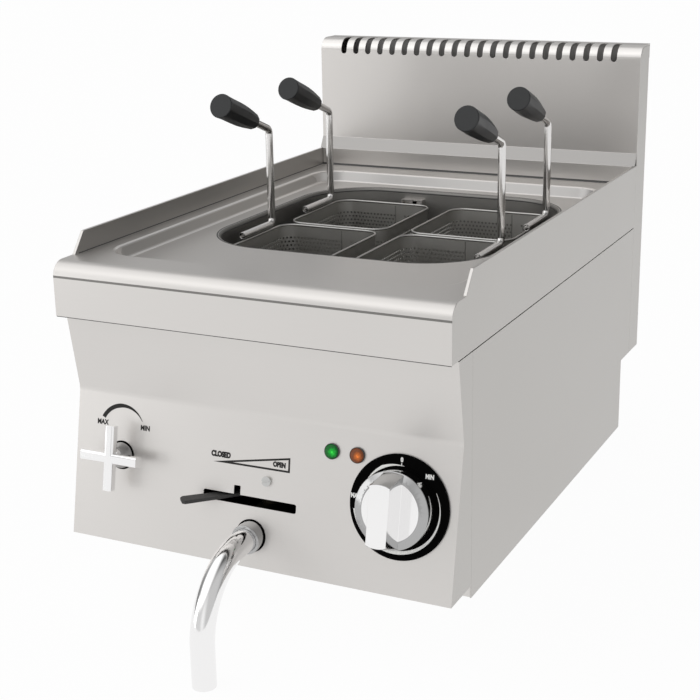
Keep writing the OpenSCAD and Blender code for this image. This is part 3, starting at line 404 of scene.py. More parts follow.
def knob_flank(normal, at):
    """Whether a face is on the sloping ring round the knob's disc, which is painted darker as a
    reflection of the dial plate.
    """
    inner, outer = 27.0, 36.0
    least, most = 0.15, 0.98
    spot = on_panel(*KNOB).inverted() @ at
    return inner < math.hypot(spot.x, spot.y) < outer and least < normal.dot(PANEL_OUT) < most


def cap_nose(normal, at):
    """Whether a face is on the rolled nose of the splashback's cap, where a highlight is painted."""
    cap_low = 400
    return at.z > cap_low and normal.y < 0 and normal.z > 0.1


def side_bend(normal, at):
    """Whether a face is on a bend along the sides of the worktop's well, where a highlight is painted."""
    rim_top = 288
    along_side = abs(normal.x) > 0.15 and abs(normal.y) < 0.3
    return at.z < rim_top and along_side and 0.62 < normal.z < 0.98


def mouth_lip(normal, at):
    """Whether a face of the worktop is on the rolled lip of the tank's mouth, where shade is painted."""
    lip_low, lip_high = 269, 273.4
    return lip_low < at.z < lip_high


def flue_inner(normal, at):
    """Whether a face is inside the flue, behind the vent slots, where shade is painted."""
    flue_middle = 285
    return at.y > flue_middle and normal.y < -0.5


def rear_step(normal, at):
    """Whether a face slopes up at the rear, where shade is painted: the well's step, or the band above
    the splash's foot.
    """
    band_top = 345
    slopes = normal.y < -0.7 and 0.4 < normal.z < 0.7
    return at.y > 0 and at.z < band_top and slopes


def paint(node, material):
    """Gives a hidden solid its finish."""
    nodes[node].data.materials.clear()
    nodes[node].data.materials.append(material)


def add_faces(bm, points, faces, matrix=Matrix.Identity(4)):
    """Adds faces on points given in millimetres."""
    verts = [bm.verts.new((matrix @ Vector(p)) * MM) for p in points]
    return [bm.faces.new([verts[i] for i in f]) for f in faces]


def add_rings(bm, rings, matrix=Matrix.Identity(4), closed=False):
    """Skins a row of equal rings of points, and caps its ends unless it is closed on itself."""
    n = len(rings[0])
    count = len(rings)
    faces = []
    for k in range(count if closed else count - 1):
        a, b = k * n, (k + 1) % count * n
        faces += [(a + i, a + (i + 1) % n, b + (i + 1) % n, b + i) for i in range(n)]
    if not closed:
        faces += [tuple(range(n - 1, -1, -1)), tuple(range((count - 1) * n, count * n))]
    return add_faces(bm, [p for points in rings for p in points], faces, matrix)


def on_circle(radius, angle, z):
    """A point of a circle about Z."""
    return Vector((radius * math.cos(angle), radius * math.sin(angle), z))


def ring(radius, z, sides):
    """The points of a circle about Z."""
    return [on_circle(radius, math.tau * i / sides, z) for i in range(sides)]


def turned(bm, profile, sides, matrix=Matrix.Identity(4)):
    """A turned piece: the profile is radii and heights from its low end to its high end."""
    return add_rings(bm, [ring(max(r, 1e-3), z, sides) for r, z in profile], matrix)


def bent_path(points, bend, steps=8):
    """A path with a round bend at each inner point."""
    path = [points[0]]
    for before, corner, after in zip(points, points[1:], points[2:]):
        into = (corner - before).normalized()
        away = (after - corner).normalized()
        turn = into.angle(away)
        reach = bend * math.tan(turn / 2)
        side = (away - into).normalized()
        centre = corner + side * (bend / math.cos(turn / 2))
        start = corner - into * reach - centre
        axis = into.cross(away).normalized()
        path += [centre + Matrix.Rotation(turn * i / steps, 3, axis) @ start for i in range(steps + 1)]
    return path + [points[-1]]


def along_path(path, side, outline):
    """Rings of an outline carried along a path that keeps to the plane square to side."""
    rings = []
    for i, p in enumerate(path):
        ahead = (path[min(i + 1, len(path) - 1)] - path[max(i - 1, 0)]).normalized()
        up = ahead.cross(side).normalized()
        rings.append([p + side * q.x + up * q.y for q in outline])
    return rings


class RoundedLoop:
    """A rectangle with round corners, run round from the front end of its right side."""

    def __init__(self, middle, width, length, radius):
        self.middle, self.width, self.length, self.radius = middle, width, length, radius
        self.runs = [(length if side % 2 == 0 else width) - 2 * radius for side in range(4)]
        self.corner = math.pi / 2 * radius

    def at(self, side, t):
        """The point at a share t of a side's straight run, or past 1 round the corner after it."""
        turn = side * math.pi / 2
        out = Vector((math.cos(turn), math.sin(turn), 0))
        along = Vector((-math.sin(turn), math.cos(turn), 0))
        half = (self.width if side % 2 == 0 else self.length) / 2
        run = self.runs[side]
        if t <= 1:
            return self.middle + out * half + along * run * (t - 0.5)
        angle = turn + (t - 1) * math.pi / 2
        centre = self.middle + out * (half - self.radius) + along * run / 2
        return centre + self.radius * Vector((math.cos(angle), math.sin(angle), 0))

    def columns(self, pitch):
        """Points round the loop, two to a cell, with whole cells on each straight run and each corner."""
        points = []
        for side in range(4):
            for first, length in ((0, self.runs[side]), (1, self.corner)):
                cells = round(length / pitch)
                points += [self.at(side, first + i / (2 * cells)) for i in range(2 * cells)]
        return points


def add_hoop(bm, loop, z, pitch, section):
    """Carries a section of points, outward and upward of the loop, round the loop at a height."""
    path = [p + UP * z for p in loop.columns(pitch)]
    n = len(path)
    rings = []
    for i, p in enumerate(path):
        outward = (path[(i + 1) % n] - path[i - 1]).normalized().cross(UP)
        rings.append([p + outward * x + UP * y for x, y in section])
    add_rings(bm, rings, closed=True)
    bmesh.ops.recalc_face_normals(bm, faces=bm.faces)


# Body

def make_front_panel():
    """The creased panel, with its crease rolled rather than sharp."""
    crease_r, crease_band, long_edge = 3.0, 0.02, 300
    edge, edge_angle = 0.5, 40.0
    bm = welded("front_panel")
    weight = bm.edges.layers.float.new("bevel_weight_edge")
    for e in bm.edges:
        a, b = (v.co / MM for v in e.verts)
        level = abs(a.z - b.z) < NEAR
        if level and abs(a.z - CREASE_Z) < crease_band and abs(a.x - b.x) > long_edge:
            e[weight] = 1.0
    crease = {"width": crease_r * MM, "segments": 6, "limit_method": "WEIGHT", "use_clamp_overlap": False}
    edges = {"width": edge * MM, "segments": 2, "limit_method": "ANGLE",
             "angle_limit": math.radians(edge_angle), "use_clamp_overlap": True}
    mesh = evaluated("front_panel", mesh_of(bm, "front_panel"), ("BEVEL", crease), ("BEVEL", edges))
    mesh = shade_by_angle(mesh)
    panel = place("front_panel_dressed", mesh, satin_sheet, "chassis", "satin_steel", "front_panel")
    # The panel's side returns take the painted side shade.
    repaint(panel, side_shade_sheet, faces_sideways)


def make_strip(name, section, start, end, material=dark_plastic, body="chassis", slot="dark_plastic"):
    """A thin strip with a section, between two points."""
    bm = bmesh.new()
    add_rings(bm, [[Vector(at) + Vector(p) for p in section] for at in (start, end)])
    bmesh.ops.recalc_face_normals(bm, faces=bm.faces)
    place(name, shade_by_angle(mesh_of(bm, name)), material, body, slot)


def make_seals():
    """Dark beads at the feet of the splashback and the raised walls, and a dark strip under the apron
    that is painted shadow in the gap above the front panel.
    """
    sunk, splash_bead, wall_behind, gap_shade_in = 0.1, 2.4, 6.0, 0.6
    splash, top = box_mm("splashback")[0], box_mm("worktop")[0]
    foot = -top.x - WALL_T
    reach = foot - sunk
    section = [(0, sunk, 0), (0, -splash_bead, 0), (0, -1.7, 0.9), (0, -0.7, 1.6), (0, sunk, 1.9)]
    make_strip("splash_seal", section, (-reach, splash.y, splash.z), (reach, splash.y, splash.z))
    front = top.y + WALL_START + wall_behind
    back = splash.y - splash_bead
    bead = ((sunk, 0), (-0.7, 0), (-0.5, 0.3), (-0.1, 0.6), (sunk, 0.7))
    for name, side in (("wall_seal_left", -1), ("wall_seal_right", 1)):
        section = [(side * x, 0, z) for x, z in bead]
        make_strip(name, section, (side * foot, front, splash.z), (side * foot, back, splash.z))
    # Painted shadow: a dark strip under the apron in place of the shade in the gap above the front panel.
    gap_shade = ((0.2, 0.1), (0.2, -0.5), (0.4, -0.7), (1.0, -0.7), (1.2, -0.5), (1.2, 0.1))
    section = [(0, y, z) for y, z in gap_shade]
    reach = -top.x - gap_shade_in
    make_strip("apron_shadow_strip", section, (-reach, top.y, top.z), (reach, top.y, top.z))


def make_mouth_shadow_lines():
    """Dark lines round the tank's mouth, where its rolled lip leaves the well and meets the tank: painted
    shadow in the gaps there.
    """
    pitch, width, height = 6.0, 1.4, 0.12
    low, high = box_mm("tank")
    inner_w, inner_l = high.x - low.x - 2 * SHEET, high.y - low.y - 2 * SHEET
    loop = RoundedLoop(plan_middle(low, high), inner_w, inner_l, TANK_R)
    upper = [(0, -height), (width, -height), (width, height), (0, height)]
    lower = [(0.1, -0.9), (0.1, 0.2), (-0.3, 0.0), (-0.3, -0.7)]
    bm = bmesh.new()
    add_hoop(bm, loop, high.z, pitch, [(LIP_R + x, LIP_R + y) for x, y in upper])
    add_hoop(bm, loop, high.z, pitch, lower)
    mesh = shade_by_angle(mesh_of(bm, "mouth_shadow_lines"))
    place("mouth_shadow_lines", mesh, dark_plastic, "chassis", "dark_plastic")


def make_shadow_ring(name, at, inner, outer):
    """A thin black ring on the front panel round a fitting: painted shadow in place of the shade in the
    gap at the fitting's edge.
    """
    thick, edge, sides = 0.7, 0.3, 64
    profile = [(outer, 0), (outer, thick - edge), (outer - edge, thick), (inner, thick), (inner, 0)]
    bm = bmesh.new()
    add_rings(bm, [ring(r, z, sides) for r, z in profile], on_panel(*at), closed=True)
    bmesh.ops.recalc_face_normals(bm, faces=bm.faces)
    place(name, shade_by_angle(mesh_of(bm, name)), bezel_black, "chassis", "dark_plastic")


def make_body():
    """The sheet body, the tank and the connections in the rear recess."""
    worktop = dress("worktop", satin_sheet, "chassis", "satin_steel", 0.5, angle=20)
    # The worktop's side faces take the painted side shade.
    repaint(worktop, side_shade_sheet, faces_sideways)
    # The well's rear step takes painted shade.
    repaint(worktop, step_shade_sheet, rear_step)
    # The bends along the well's sides take painted highlight lines.
    repaint(worktop, bend_highlight_sheet, side_bend)
    # The tank's rolled lip takes painted shade.
    repaint(worktop, lip_shade_sheet, mouth_lip)
    splash = dress("splashback", splash_sheet, "chassis", "satin_steel", 0.4, angle=20)
    # The band above the splash's foot takes painted shade.
    repaint(splash, band_shade_sheet, rear_step)
    # The cap's nose takes a painted highlight.
    repaint(splash, nose_highlight_sheet, cap_nose)
    # The inside of the flue behind the slots takes painted shade.
    repaint(splash, flue_shade_sheet, flue_inner)
    # The flue's side plates are in the painted side shade.
    dress("flue_shell", side_shade_sheet, "chassis", "satin_steel", 0.5, angle=20)
    flue_back = dress("flue_back", satin_sheet, "chassis", "satin_steel", 0.3)
    # The flue's back behind the slots takes painted shade.
    repaint(flue_back, flue_shade_sheet, flue_inner)
    # The side panels are in the painted side shade.
    dress("side_panel_left", side_shade_sheet, "chassis", "satin_steel", 0.5)
    dress("side_panel_right", side_shade_sheet, "chassis", "satin_steel", 0.5)
    make_front_panel()
    make_seals()
    make_mouth_shadow_lines()
    dress("base_pan", satin_sheet, "chassis", "satin_steel", 0.4)
    dress("rear_panel", satin_sheet, "chassis", "satin_steel", 0.3)
    dress("back_screws", plain_steel, "chassis", "plain_steel", 0.2)
    dress("tank", tank_sheet, "chassis", "tank_steel")
    dress("basket_rest", tank_sheet, "chassis", "tank_steel", 0.3)
    dress("fill_spout", satin_sheet, "chassis", "tank_steel", 0.3)
    dress("cable_gland", dark_plastic, "chassis", "dark_plastic", 0.4)
    dress("water_inlet", turned_brass, "chassis", "brass_fittings", 0.4)
    dress("earth_stud", turned_brass, "chassis", "brass_fittings", 0.3)


def make_fittings():
    """The spout, the tap, the knob and the drain lever, with their trims."""
    # The collar's chrome is darkened: a painted reflection.
    dress("drain_collar", shaded_chrome, "chassis", "chrome_fittings", 0.8, 3)
    dress("drain_spout", bright_chrome, "chassis", "chrome_fittings", 0.5, 3)
    # The bonnet's chrome is darkened: a painted reflection.
    dress("tap_bonnet", shaded_chrome, "chassis", "chrome_fittings", 0.6, 3)
    dress("tap_handle", bright_chrome, "tap", "chrome_fittings", 1.5, 4)
    dress("knob_bezel", bezel_black, "chassis", "black_bezel", 0.5, 3)
    knob = dress("control_knob", bright_chrome, "knob", "chrome_fittings", 1.8, 4)
    # The knob's sloping ring takes a painted reflection of the dark dial plate.
    repaint(knob, shaded_chrome, knob_flank)
    dress("panel_screw", plain_steel, "chassis", "plain_steel", 0.3)
    dress("drain_lever", plain_steel, "drain", "plain_steel", 0.3)
    make_lever_cover()
    # Painted shadow rings round the tap and the spout.
    make_shadow_ring("tap_shadow_ring", TAP, inner=12.7, outer=13.7)
    make_shadow_ring("drain_shadow_ring", DRAIN, inner=14.4, outer=15.5)
    dress("valve_ball", plain_steel, "drain", "plain_steel", 0.3)


def make_lever_cover():
    """The black cover on the drain lever's outer part, a flat tapering plate."""
    start, thick, round_end, edge = 30.0, 3.4, 2.5, 0.8
    half0, half1 = 5.2, 6.8
    half2 = half1 - round_end
    along = Vector((-math.cos(LEVER_ANGLE), -math.sin(LEVER_ANGLE), 0))
    across = Vector((math.sin(LEVER_ANGLE), -math.cos(LEVER_ANGLE), 0))
    one_side = ((start, -half0), (LEVER_L - round_end, -half1), (LEVER_L, -half2))
    other_side = ((LEVER_L, half2), (LEVER_L - round_end, half1), (start, half0))
    outline = [Vector(LEVER_STEM) + along * a + across * b for a, b in one_side + other_side]
    bm = bmesh.new()
    add_rings(bm, [[p + UP * z for p in outline] for z in (-thick / 2, thick / 2)])
    bmesh.ops.recalc_face_normals(bm, faces=bm.faces)
    mesh = rounded("lever_cover", bm, edge, 3)
    place("lever_cover", mesh, lever_cover, "drain", "black_grip", "lever_grip")


def make_lamp(name, at, glass):
    """A lamp: a dark ring round a low domed lens."""
    ring_w, ring_h, edge, sides = 0.6, 2.0, 0.25, 48
    sunk, steps, dome_sharp = 0.6, 8, 60.0
    spot_right, spot_down = 1.5, 0.5
    inner = LENS_R - ring_w
    outer_side = [(LENS_R, 0), (LENS_R, ring_h - edge), (LENS_R - edge, ring_h)]
    inner_side = [(inner + edge, ring_h), (inner, ring_h - edge), (inner, 0)]
    bm = bmesh.new()
    add_rings(bm, [ring(r, z, sides) for r, z in outer_side + inner_side], on_panel(*at), closed=True)
    mesh = shade_by_angle(mesh_of(bm, name + "_ring"))
    place(name + "_ring", mesh, dark_plastic, "chassis", "dark_plastic")
    dome_low = ring_h - sunk
    dome = [(inner * math.cos(a), dome_low + (LENS_H - dome_low) * math.sin(a))
            for a in (math.pi / 2 * i / steps for i in range(steps + 1))]
    bm = bmesh.new()
    turned(bm, [(inner, 0)] + dome, sides, on_panel(*at))
    mesh = shade_by_angle(mesh_of(bm, name + "_lens"), dome_sharp)
    middle = mesh.attributes.new("middle", "FLOAT", "POINT")
    bright_spot = panel_point(at[0] + spot_right, at[1] - spot_down, LENS_H)
    for v, value in zip(mesh.vertices, middle.data):
        value.value = max(0.0, 1 - (v.co / MM - bright_spot).length / inner)
    place(name + "_lens", mesh, glass, "chassis", name.replace("lamp_", "") + "_lens", name)


# Printed marks

def add_band(bm, centre, radii, angles, matrix, steps=40):
    """A flat band along an arc, whose inner and outer radii change evenly from end to end."""
    (inner0, outer0), (inner1, outer1) = radii
    points = []
    for i in range(steps + 1):
        t = i / steps
        a = math.radians(angles[0] + (angles[1] - angles[0]) * t)
        for r in (inner0 + (inner1 - inner0) * t, outer0 + (outer1 - outer0) * t):
            points.append((centre[0] + r * math.cos(a), centre[1] + r * math.sin(a), 0))
    add_faces(bm, points, [(2 * i, 2 * i + 1, 2 * i + 3, 2 * i + 2) for i in range(steps)], matrix)


def add_word(bm, word, height, at, matrix, squeeze=0.8, bold=0.075):
    """A word in plain capitals, centred on a point."""
    curve = bpy.data.curves.new(word, "FONT")
    curve.body = word
    curve.align_x, curve.align_y = "CENTER", "CENTER"
    curve.offset = bold
    obj = bpy.data.objects.new(word, curve)
    bpy.context.scene.collection.objects.link(obj)
    mesh = bpy.data.meshes.new_from_object(obj.evaluated_get(bpy.context.evaluated_depsgraph_get()))
    bpy.data.objects.remove(obj)
    cap_share = 0.73
    size = height / cap_share
    spot = Matrix.Translation((*at, 0)) @ Matrix.Diagonal((size * squeeze, size, size, 1))
    mesh.transform(Matrix.Scale(MM, 4) @ matrix @ spot)
    bm.from_mesh(mesh)


def add_line(bm, points, width, matrix):
    """A closed line of even width round a triangle, drawn inside its corners."""
    corners = [Vector((*p, 0)) for p in points]
    inner = []
    for before, corner, after in zip(corners[-1:] + corners[:-1], corners, corners[1:] + corners[:1]):
        a, b = (before - corner).normalized(), (after - corner).normalized()
        half = a.angle(b) / 2
        inner.append(corner + (a + b).normalized() * width / math.sin(half))
    faces = [(i, (i + 1) % 3, 3 + (i + 1) % 3, 3 + i) for i in range(3)]
    add_faces(bm, corners + inner, faces, matrix)


def make_marks():
    """Generic marks: more and less by the tap, open and closed by the lever, a heat scale, with a painted
    highlight printed on the bezel.
    """
    lift = 0.12
    make_panel_marks(on_panel(0, 0, lift))
    make_bezel_print_and_highlight(on_panel(*KNOB, BEZEL_T + lift))


def make_panel_marks(face):
    """A widening arc and two words above the tap, and a wedge with two words above the lever."""
    cap_h, stroke = 5.0, 1.8
    climb = 1 / math.cos(LEAN)
    arc_at = (-148.5, 118.6 * climb)
    thick, thin = (22.7, 26.8), (24.9, 25.3)
    wedge = [(x, z * climb) for x, z in ((-46.5, 104.9), (34.3, 105.6), (34.0, 119.3))]
    bm = bmesh.new()
    add_band(bm, arc_at, (thick, thick), (153, 100), face)
    add_band(bm, arc_at, (thick, thin), (100, 29), face)
    add_word(bm, "MAX", cap_h, (-171.5, 124.6 * climb), face, squeeze=0.85, bold=0.04)
    add_word(bm, "MIN", cap_h, (-123.0, 124.7 * climb), face, squeeze=0.85, bold=0.04)
    add_line(bm, wedge, stroke, face)
    add_word(bm, "CLOSED", cap_h, (-38.5, 112.2 * climb), face)
    add_word(bm, "OPEN", cap_h * 0.9, (23.2, 111.4 * climb), face)
    place("panel_marks", facing_out(bm, "panel_marks"), print_dark, "chassis", "dark_plastic")


def make_bezel_print_and_highlight(dial):
    """A nought with a tick, two words and a long tapering arc, printed, and a short white crescent round
    the knob that is a painted highlight of the collar's edge.
    """
    tick_half, tick_low, tick_high = 0.45, 37.0, 39.6
    tick = [(-tick_half, tick_high, 0), (tick_half, tick_high, 0),
            (tick_half, tick_low, 0), (-tick_half, tick_low, 0)]
    arc_thin, arc_thick = (38.9, 39.2), (38.2, 44.0)
    highlight_tip, highlight_middle = (37.3, 37.6), (36.9, 39.8)
    bm = bmesh.new()
    add_word(bm, "0", 4.0, (0, 42.6), dial)
    add_faces(bm, tick, [(0, 1, 2, 3)], dial)
    add_word(bm, "MIN", 4.2, (27.2, 31.4), dial, squeeze=0.78, bold=0.05)
    add_word(bm, "MAX", 4.2, (-41.8, 4.0), dial, squeeze=0.78, bold=0.05)
    add_band(bm, (0, 0), (arc_thin, arc_thick), (28, -170), dial, steps=64)
    # The crescent is a painted highlight of the collar's edge, drawn in white.
    add_band(bm, (0, 0), (highlight_tip, highlight_middle), (86, 118), dial, steps=24)
    add_band(bm, (0, 0), (highlight_middle, highlight_tip), (118, 152), dial, steps=24)
    place("bezel_print_and_highlight", facing_out(bm, "bezel_print_and_highlight"), white_print_and_highlight, "chassis", "pale_plastic")


def facing_out(bm, name):
    """A flat print whose faces all look forward."""
    bm.normal_update()
    bmesh.ops.reverse_faces(bm, faces=[f for f in bm.faces if f.normal.dot(PANEL_OUT) < 0])
    return mesh_of(bm, name)


# Baskets

def make_punched_sheet():
    """Turns marked faces into round holes, thickens the sheet inward and closes it."""
    group, given, result = group_with(
        "punched_sheet", "GeometryNodeTree",
        [("Geometry", "NodeSocketGeometry", None), ("Hole radius", "NodeSocketFloat", 0.001),
         ("Thickness", "NodeSocketFloat", 0.001), ("Material", "NodeSocketMaterial", None)],
        [("Geometry", "NodeSocketGeometry")])
    marked = add(group, "GeometryNodeInputNamedAttribute", data_type="BOOLEAN")
    marked.inputs["Name"].default_value = "punched"
    where = add(group, "GeometryNodeInputPosition")
    keep = add(group, "GeometryNodeCaptureAttribute", domain="FACE")
    keep.capture_items.new("VECTOR", "Centre")
    link(group, given, "Geometry", keep, "Geometry")
    link(group, where, "Position", keep, "Centre")
    inset = add(group, "GeometryNodeExtrudeMesh", mode="FACES")
    inset.inputs["Individual"].default_value = True
    inset.inputs["Offset Scale"].default_value = 0.0
    link(group, keep, "Geometry", inset, "Mesh")
    link(group, marked, "Attribute", inset, "Selection")
    away = add(group, "ShaderNodeVectorMath", operation="SUBTRACT")
    link(group, where, "Position", away, 0)
    link(group, keep, "Centre", away, 1)
    heading = add(group, "ShaderNodeVectorMath", operation="NORMALIZE")
    link(group, away, 0, heading, 0)
    reach = add(group, "ShaderNodeVectorMath", operation="SCALE")
    link(group, heading, 0, reach, 0)
    link(group, given, "Hole radius", reach, "Scale")
    edge = add(group, "ShaderNodeVectorMath", operation="ADD")
    link(group, keep, "Centre", edge, 0)
    link(group, reach, 0, edge, 1)
    shape = add(group, "GeometryNodeSetPosition")
    link(group, inset, "Mesh", shape, "Geometry")
    link(group, inset, "Top", shape, "Selection")
    link(group, edge, 0, shape, "Position")
    punch = add(group, "GeometryNodeDeleteGeometry", domain="FACE")
    link(group, shape, "Geometry", punch, "Geometry")
    link(group, inset, "Top", punch, "Selection")
    depth = math_node(group, "MULTIPLY", (given, "Thickness"), -1.0)
    inside = add(group, "GeometryNodeExtrudeMesh", mode="FACES")
    inside.inputs["Individual"].default_value = False
    link(group, punch, "Geometry", inside, "Mesh")
    link(group, depth, 0, inside, "Offset Scale")
    turn_over = add(group, "GeometryNodeFlipFaces")
    link(group, inside, "Mesh", turn_over, "Mesh")
    both = add(group, "GeometryNodeJoinGeometry")
    link(group, punch, "Geometry", both, "Geometry")
    link(group, turn_over, "Mesh", both, "Geometry")
    weld = add(group, "GeometryNodeMergeByDistance")
    weld.inputs["Distance"].default_value = 1e-6
    link(group, both, "Geometry", weld, "Geometry")
    real = add(group, "GeometryNodeRealizeInstances")
    link(group, weld, "Geometry", real, "Geometry")
    cover = add(group, "GeometryNodeSetMaterial")
    link(group, real, "Geometry", cover, "Geometry")
    link(group, given, "Material", cover, "Material")
    link(group, cover, "Geometry", result, "Geometry")
    return group


punched_sheet = make_punched_sheet()


def punched(name, mesh, hole_r, thickness, material):
    """The sheet with its holes, as a plain mesh."""
    sockets = {s.name: s.identifier for s in punched_sheet.interface.items_tree if s.in_out == "INPUT"}
    return evaluated(name, mesh, ("NODES", {
        "node_group": punched_sheet, sockets["Hole radius"]: hole_r * MM,
        sockets["Thickness"]: thickness * MM, sockets["Material"]: material}))


def on_seam(loop, point):
    """Whether a point is on the plain strip where a basket's rear wall laps itself."""
    before = 1.0
    x, y = point.x - loop.middle.x, point.y - loop.middle.y
    return y > 0 and SEAM_AT - before < x < SEAM_AT + SEAM_W


def make_basket(place_name):
    """A basket of punched sheet with a rolled rim, a seam bead, a bent rod and a faceted grip."""
    body = "basket_" + place_name
    low, high = box_mm(body)
    middle = plan_middle(low, high)
    rim_z = high.z - RIM_D / 2
    loop = RoundedLoop(middle, high.x - low.x - RIM_D, high.y - low.y - RIM_D, BASKET_R - RIM_D / 2)
    make_basket_sheet(body, loop, low.z, rim_z)
    make_basket_rim(body, loop, rim_z)
    make_rod_and_grip(body, middle)


def make_basket_sheet(body, loop, floor_z, rim_z):
    """The walls, punched in staggered rows below a plain band, with the punched floor."""
    pitch, hole_r, sheet, plain_band = 4.3, 1.3, 0.5, 12.0
    seam_above, seam_below = 1.0, 2.0
    columns = loop.columns(pitch)
    n = len(columns)
    top = rim_z - plain_band
    rows = round((top - floor_z) / pitch)
    heights = [floor_z + (top - floor_z) * j / (2 * rows) for j in range(2 * rows + 1)] + [rim_z]
    bm = bmesh.new()
    mark = bm.faces.layers.bool.new("punched")
    grid = [[bm.verts.new((p + Vector((0, 0, z))) * MM) for p in columns] for z in heights]

    def cell(i, j, high):
        """The face that spans two columns, with every point on its edge."""
        right = [(i + 2, j + k) for k in range(high)]
        left = [(i, j + high - k) for k in range(high)]
        around = [(i, j), (i + 1, j)] + right + [(i + 2, j + high), (i + 1, j + high)] + left
        return bm.faces.new([grid[b][a % n] for a, b in around])

    for j in range(0, 2 * rows, 2):
        for i in range(j // 2 % 2, n, 2):
            cell(i, j, 2)[mark] = not on_seam(loop, columns[(i + 1) % n])
    for i in range(0, n, 2):
        cell(i, 2 * rows, 1)
    bmesh.ops.delete(bm, geom=[v for v in bm.verts if not v.link_faces], context="VERTS")
    add_basket_floor(bm, mark, loop, floor_z)
    mesh = punched(body, mesh_of(bm, body), hole_r, sheet, basket_sheet)
    place(body + "_sheet", shade_by_angle(mesh), basket_sheet, body, "basket_steel", body)
    wall_y = loop.middle.y + loop.length / 2 - sheet
    make_basket_seam(body, loop, wall_y, floor_z + seam_above, rim_z - seam_below)


def make_basket_seam(body, loop, wall_y, low_z, high_z):
    """The bead where the rear wall's sheet laps itself."""
    half, out, steps = 0.6, 0.4, 6
    angles = [math.pi * k / steps for k in range(steps + 1)]
    arc = [(half * math.cos(a), -out * math.sin(a), 0) for a in angles]
    x = loop.middle.x + SEAM_AT
    low, high = (x, wall_y, low_z), (x, wall_y, high_z)
    make_strip(body + "_seam", arc, low, high, tank_sheet, body, "basket_steel")


def add_basket_floor(bm, mark, loop, z):
    """The floor: a punched rectangle inside a plain border that meets the walls."""
    pitch, border = 4.8, 12.0
    across, along = loop.width - 2 * border, loop.length - 2 * border
    nx, ny = round(across / pitch), round(along / pitch)
    grid = {}
    for i in range(2 * nx + 1):
        for j in range(2 * ny + 1):
            if i % 2 == 0 or j % 2 == 0:
                spot = Vector((across * (i / (2 * nx) - 0.5), along * (j / (2 * ny) - 0.5), z))
                grid[i, j] = bm.verts.new((loop.middle + spot) * MM)
    for i in range(0, 2 * nx, 2):
        for j in range(0, 2 * ny, 2):
            steps = ((0, 0), (0, 1), (0, 2), (1, 2), (2, 2), (2, 1), (2, 0), (1, 0))
            bm.faces.new([grid[i + a, j + b] for a, b in steps])[mark] = True
    bm.edges.index_update()
    inner = [e for e in bm.edges if len(e.link_faces) == 1
             and all(abs(v.co.z / MM - z) < NEAR for v in e.verts)]
    fill = bmesh.ops.triangle_fill(bm, edges=inner, use_beauty=True)["geom"]
    flat = [f for f in fill if isinstance(f, bmesh.types.BMFace)]
    for f in flat:
        f.normal_update()
    bmesh.ops.reverse_faces(bm, faces=[f for f in flat if f.normal.z > 0])


def make_basket_rim(body, loop, rim_z):
    """The rolled wire at the rim."""
    wire_r, sides, pitch, sharp = 1.3, 16, 5.0, 60.0
    bm = bmesh.new()
    add_hoop(bm, loop, rim_z, pitch, [(p.x, p.y) for p in ring(wire_r, 0, sides)])
    mesh = shade_by_angle(mesh_of(bm, body + "_rim"), sharp)
    place(body + "_rim", mesh, basket_rim, body, "basket_steel")


def make_rod_and_grip(body, middle):
    """A rod that hooks on the basket, rises, and leans forward into its grip."""
    bore_share, bore_depth, sides, edge, edge_angle = 0.72, 12.0, 24, 0.25, 50.0
    low, high = box_mm(body + "_rod")
    x = (low.x + high.x) / 2
    rod_z = low.z + ROD_D / 2
    end = Vector((x, low.y, rod_z))
    corner = Vector((x, middle.y + ROD_BACK, rod_z))
    top = corner + Vector((0, 0, ROD_H))
    heading = Vector((0, -math.cos(GRIP_SLOPE), math.sin(GRIP_SLOPE)))
    path = bent_path([end, corner, top, top + heading * (ROD_FREE + GRIP_SEAT)], ROD_BEND)
    across = Vector((1, 0, 0))
    outline = ring(ROD_D / 2, 0, sides)
    bore = [end, Vector((x, low.y + bore_depth, rod_z))]
    inside = along_path(bore, across, [p * bore_share for p in outline])
    bm = bmesh.new()
    add_rings(bm, inside[::-1] + along_path(path, across, outline))
    bmesh.ops.recalc_face_normals(bm, faces=bm.faces)
    mesh = rounded(body + "_rod", bm, edge, 2, edge_angle)
    place(body + "_rod_dressed", mesh, polished_rod, body, "polished_steel", body + "_rod")
    make_grip(body, top + heading * ROD_FREE, heading)


def make_grip(body, foot, heading):
    """A swelling grip with ten long flats that fade into a round end."""
    flats, per_flat, shoulder, rod_gap, edge, sharp = 10, 6, 2.2, 0.3, 1.2, 28.0
    full_at, stations = 0.65, (0, 0.1, 0.2, 0.3, 0.4, 0.5, 0.65, 0.85)
    start_r, end_r = GRIP_D0 / 2, GRIP_D1 / 2
    length = GRIP_L - shoulder - edge
    profile = [(ROD_D / 2 + rod_gap, 0, 0), (start_r - shoulder, 0, 1)]
    for t in stations:
        swell = math.sin(min(1.0, t / full_at) * math.pi / 2)
        profile.append((start_r + (end_r - start_r) * swell, shoulder + length * t, 1))
    profile += [(end_r, GRIP_L - edge, 0), (end_r - edge / 3, GRIP_L - edge / 3, 0),
                (end_r - edge, GRIP_L, 0)]
    sides = flats * per_flat
    rings = []
    for radius, z, flat in profile:
        points = []
        for k in range(sides):
            off = math.tau / flats * (k % per_flat / per_flat - 0.5)
            reach = radius * (math.cos(math.pi / flats) / math.cos(off)) ** flat
            points.append(on_circle(reach, math.tau * k / sides, z))
        rings.append(points)
    turn = heading.to_track_quat("Z", "X").to_matrix().to_4x4()
    bm = bmesh.new()
    add_rings(bm, rings, Matrix.Translation(foot) @ turn)
    mesh = shade_by_angle(mesh_of(bm, body + "_grip"), sharp)
    place(body + "_grip_dressed", mesh, black_handle, body, "black_grip", body + "_grip")


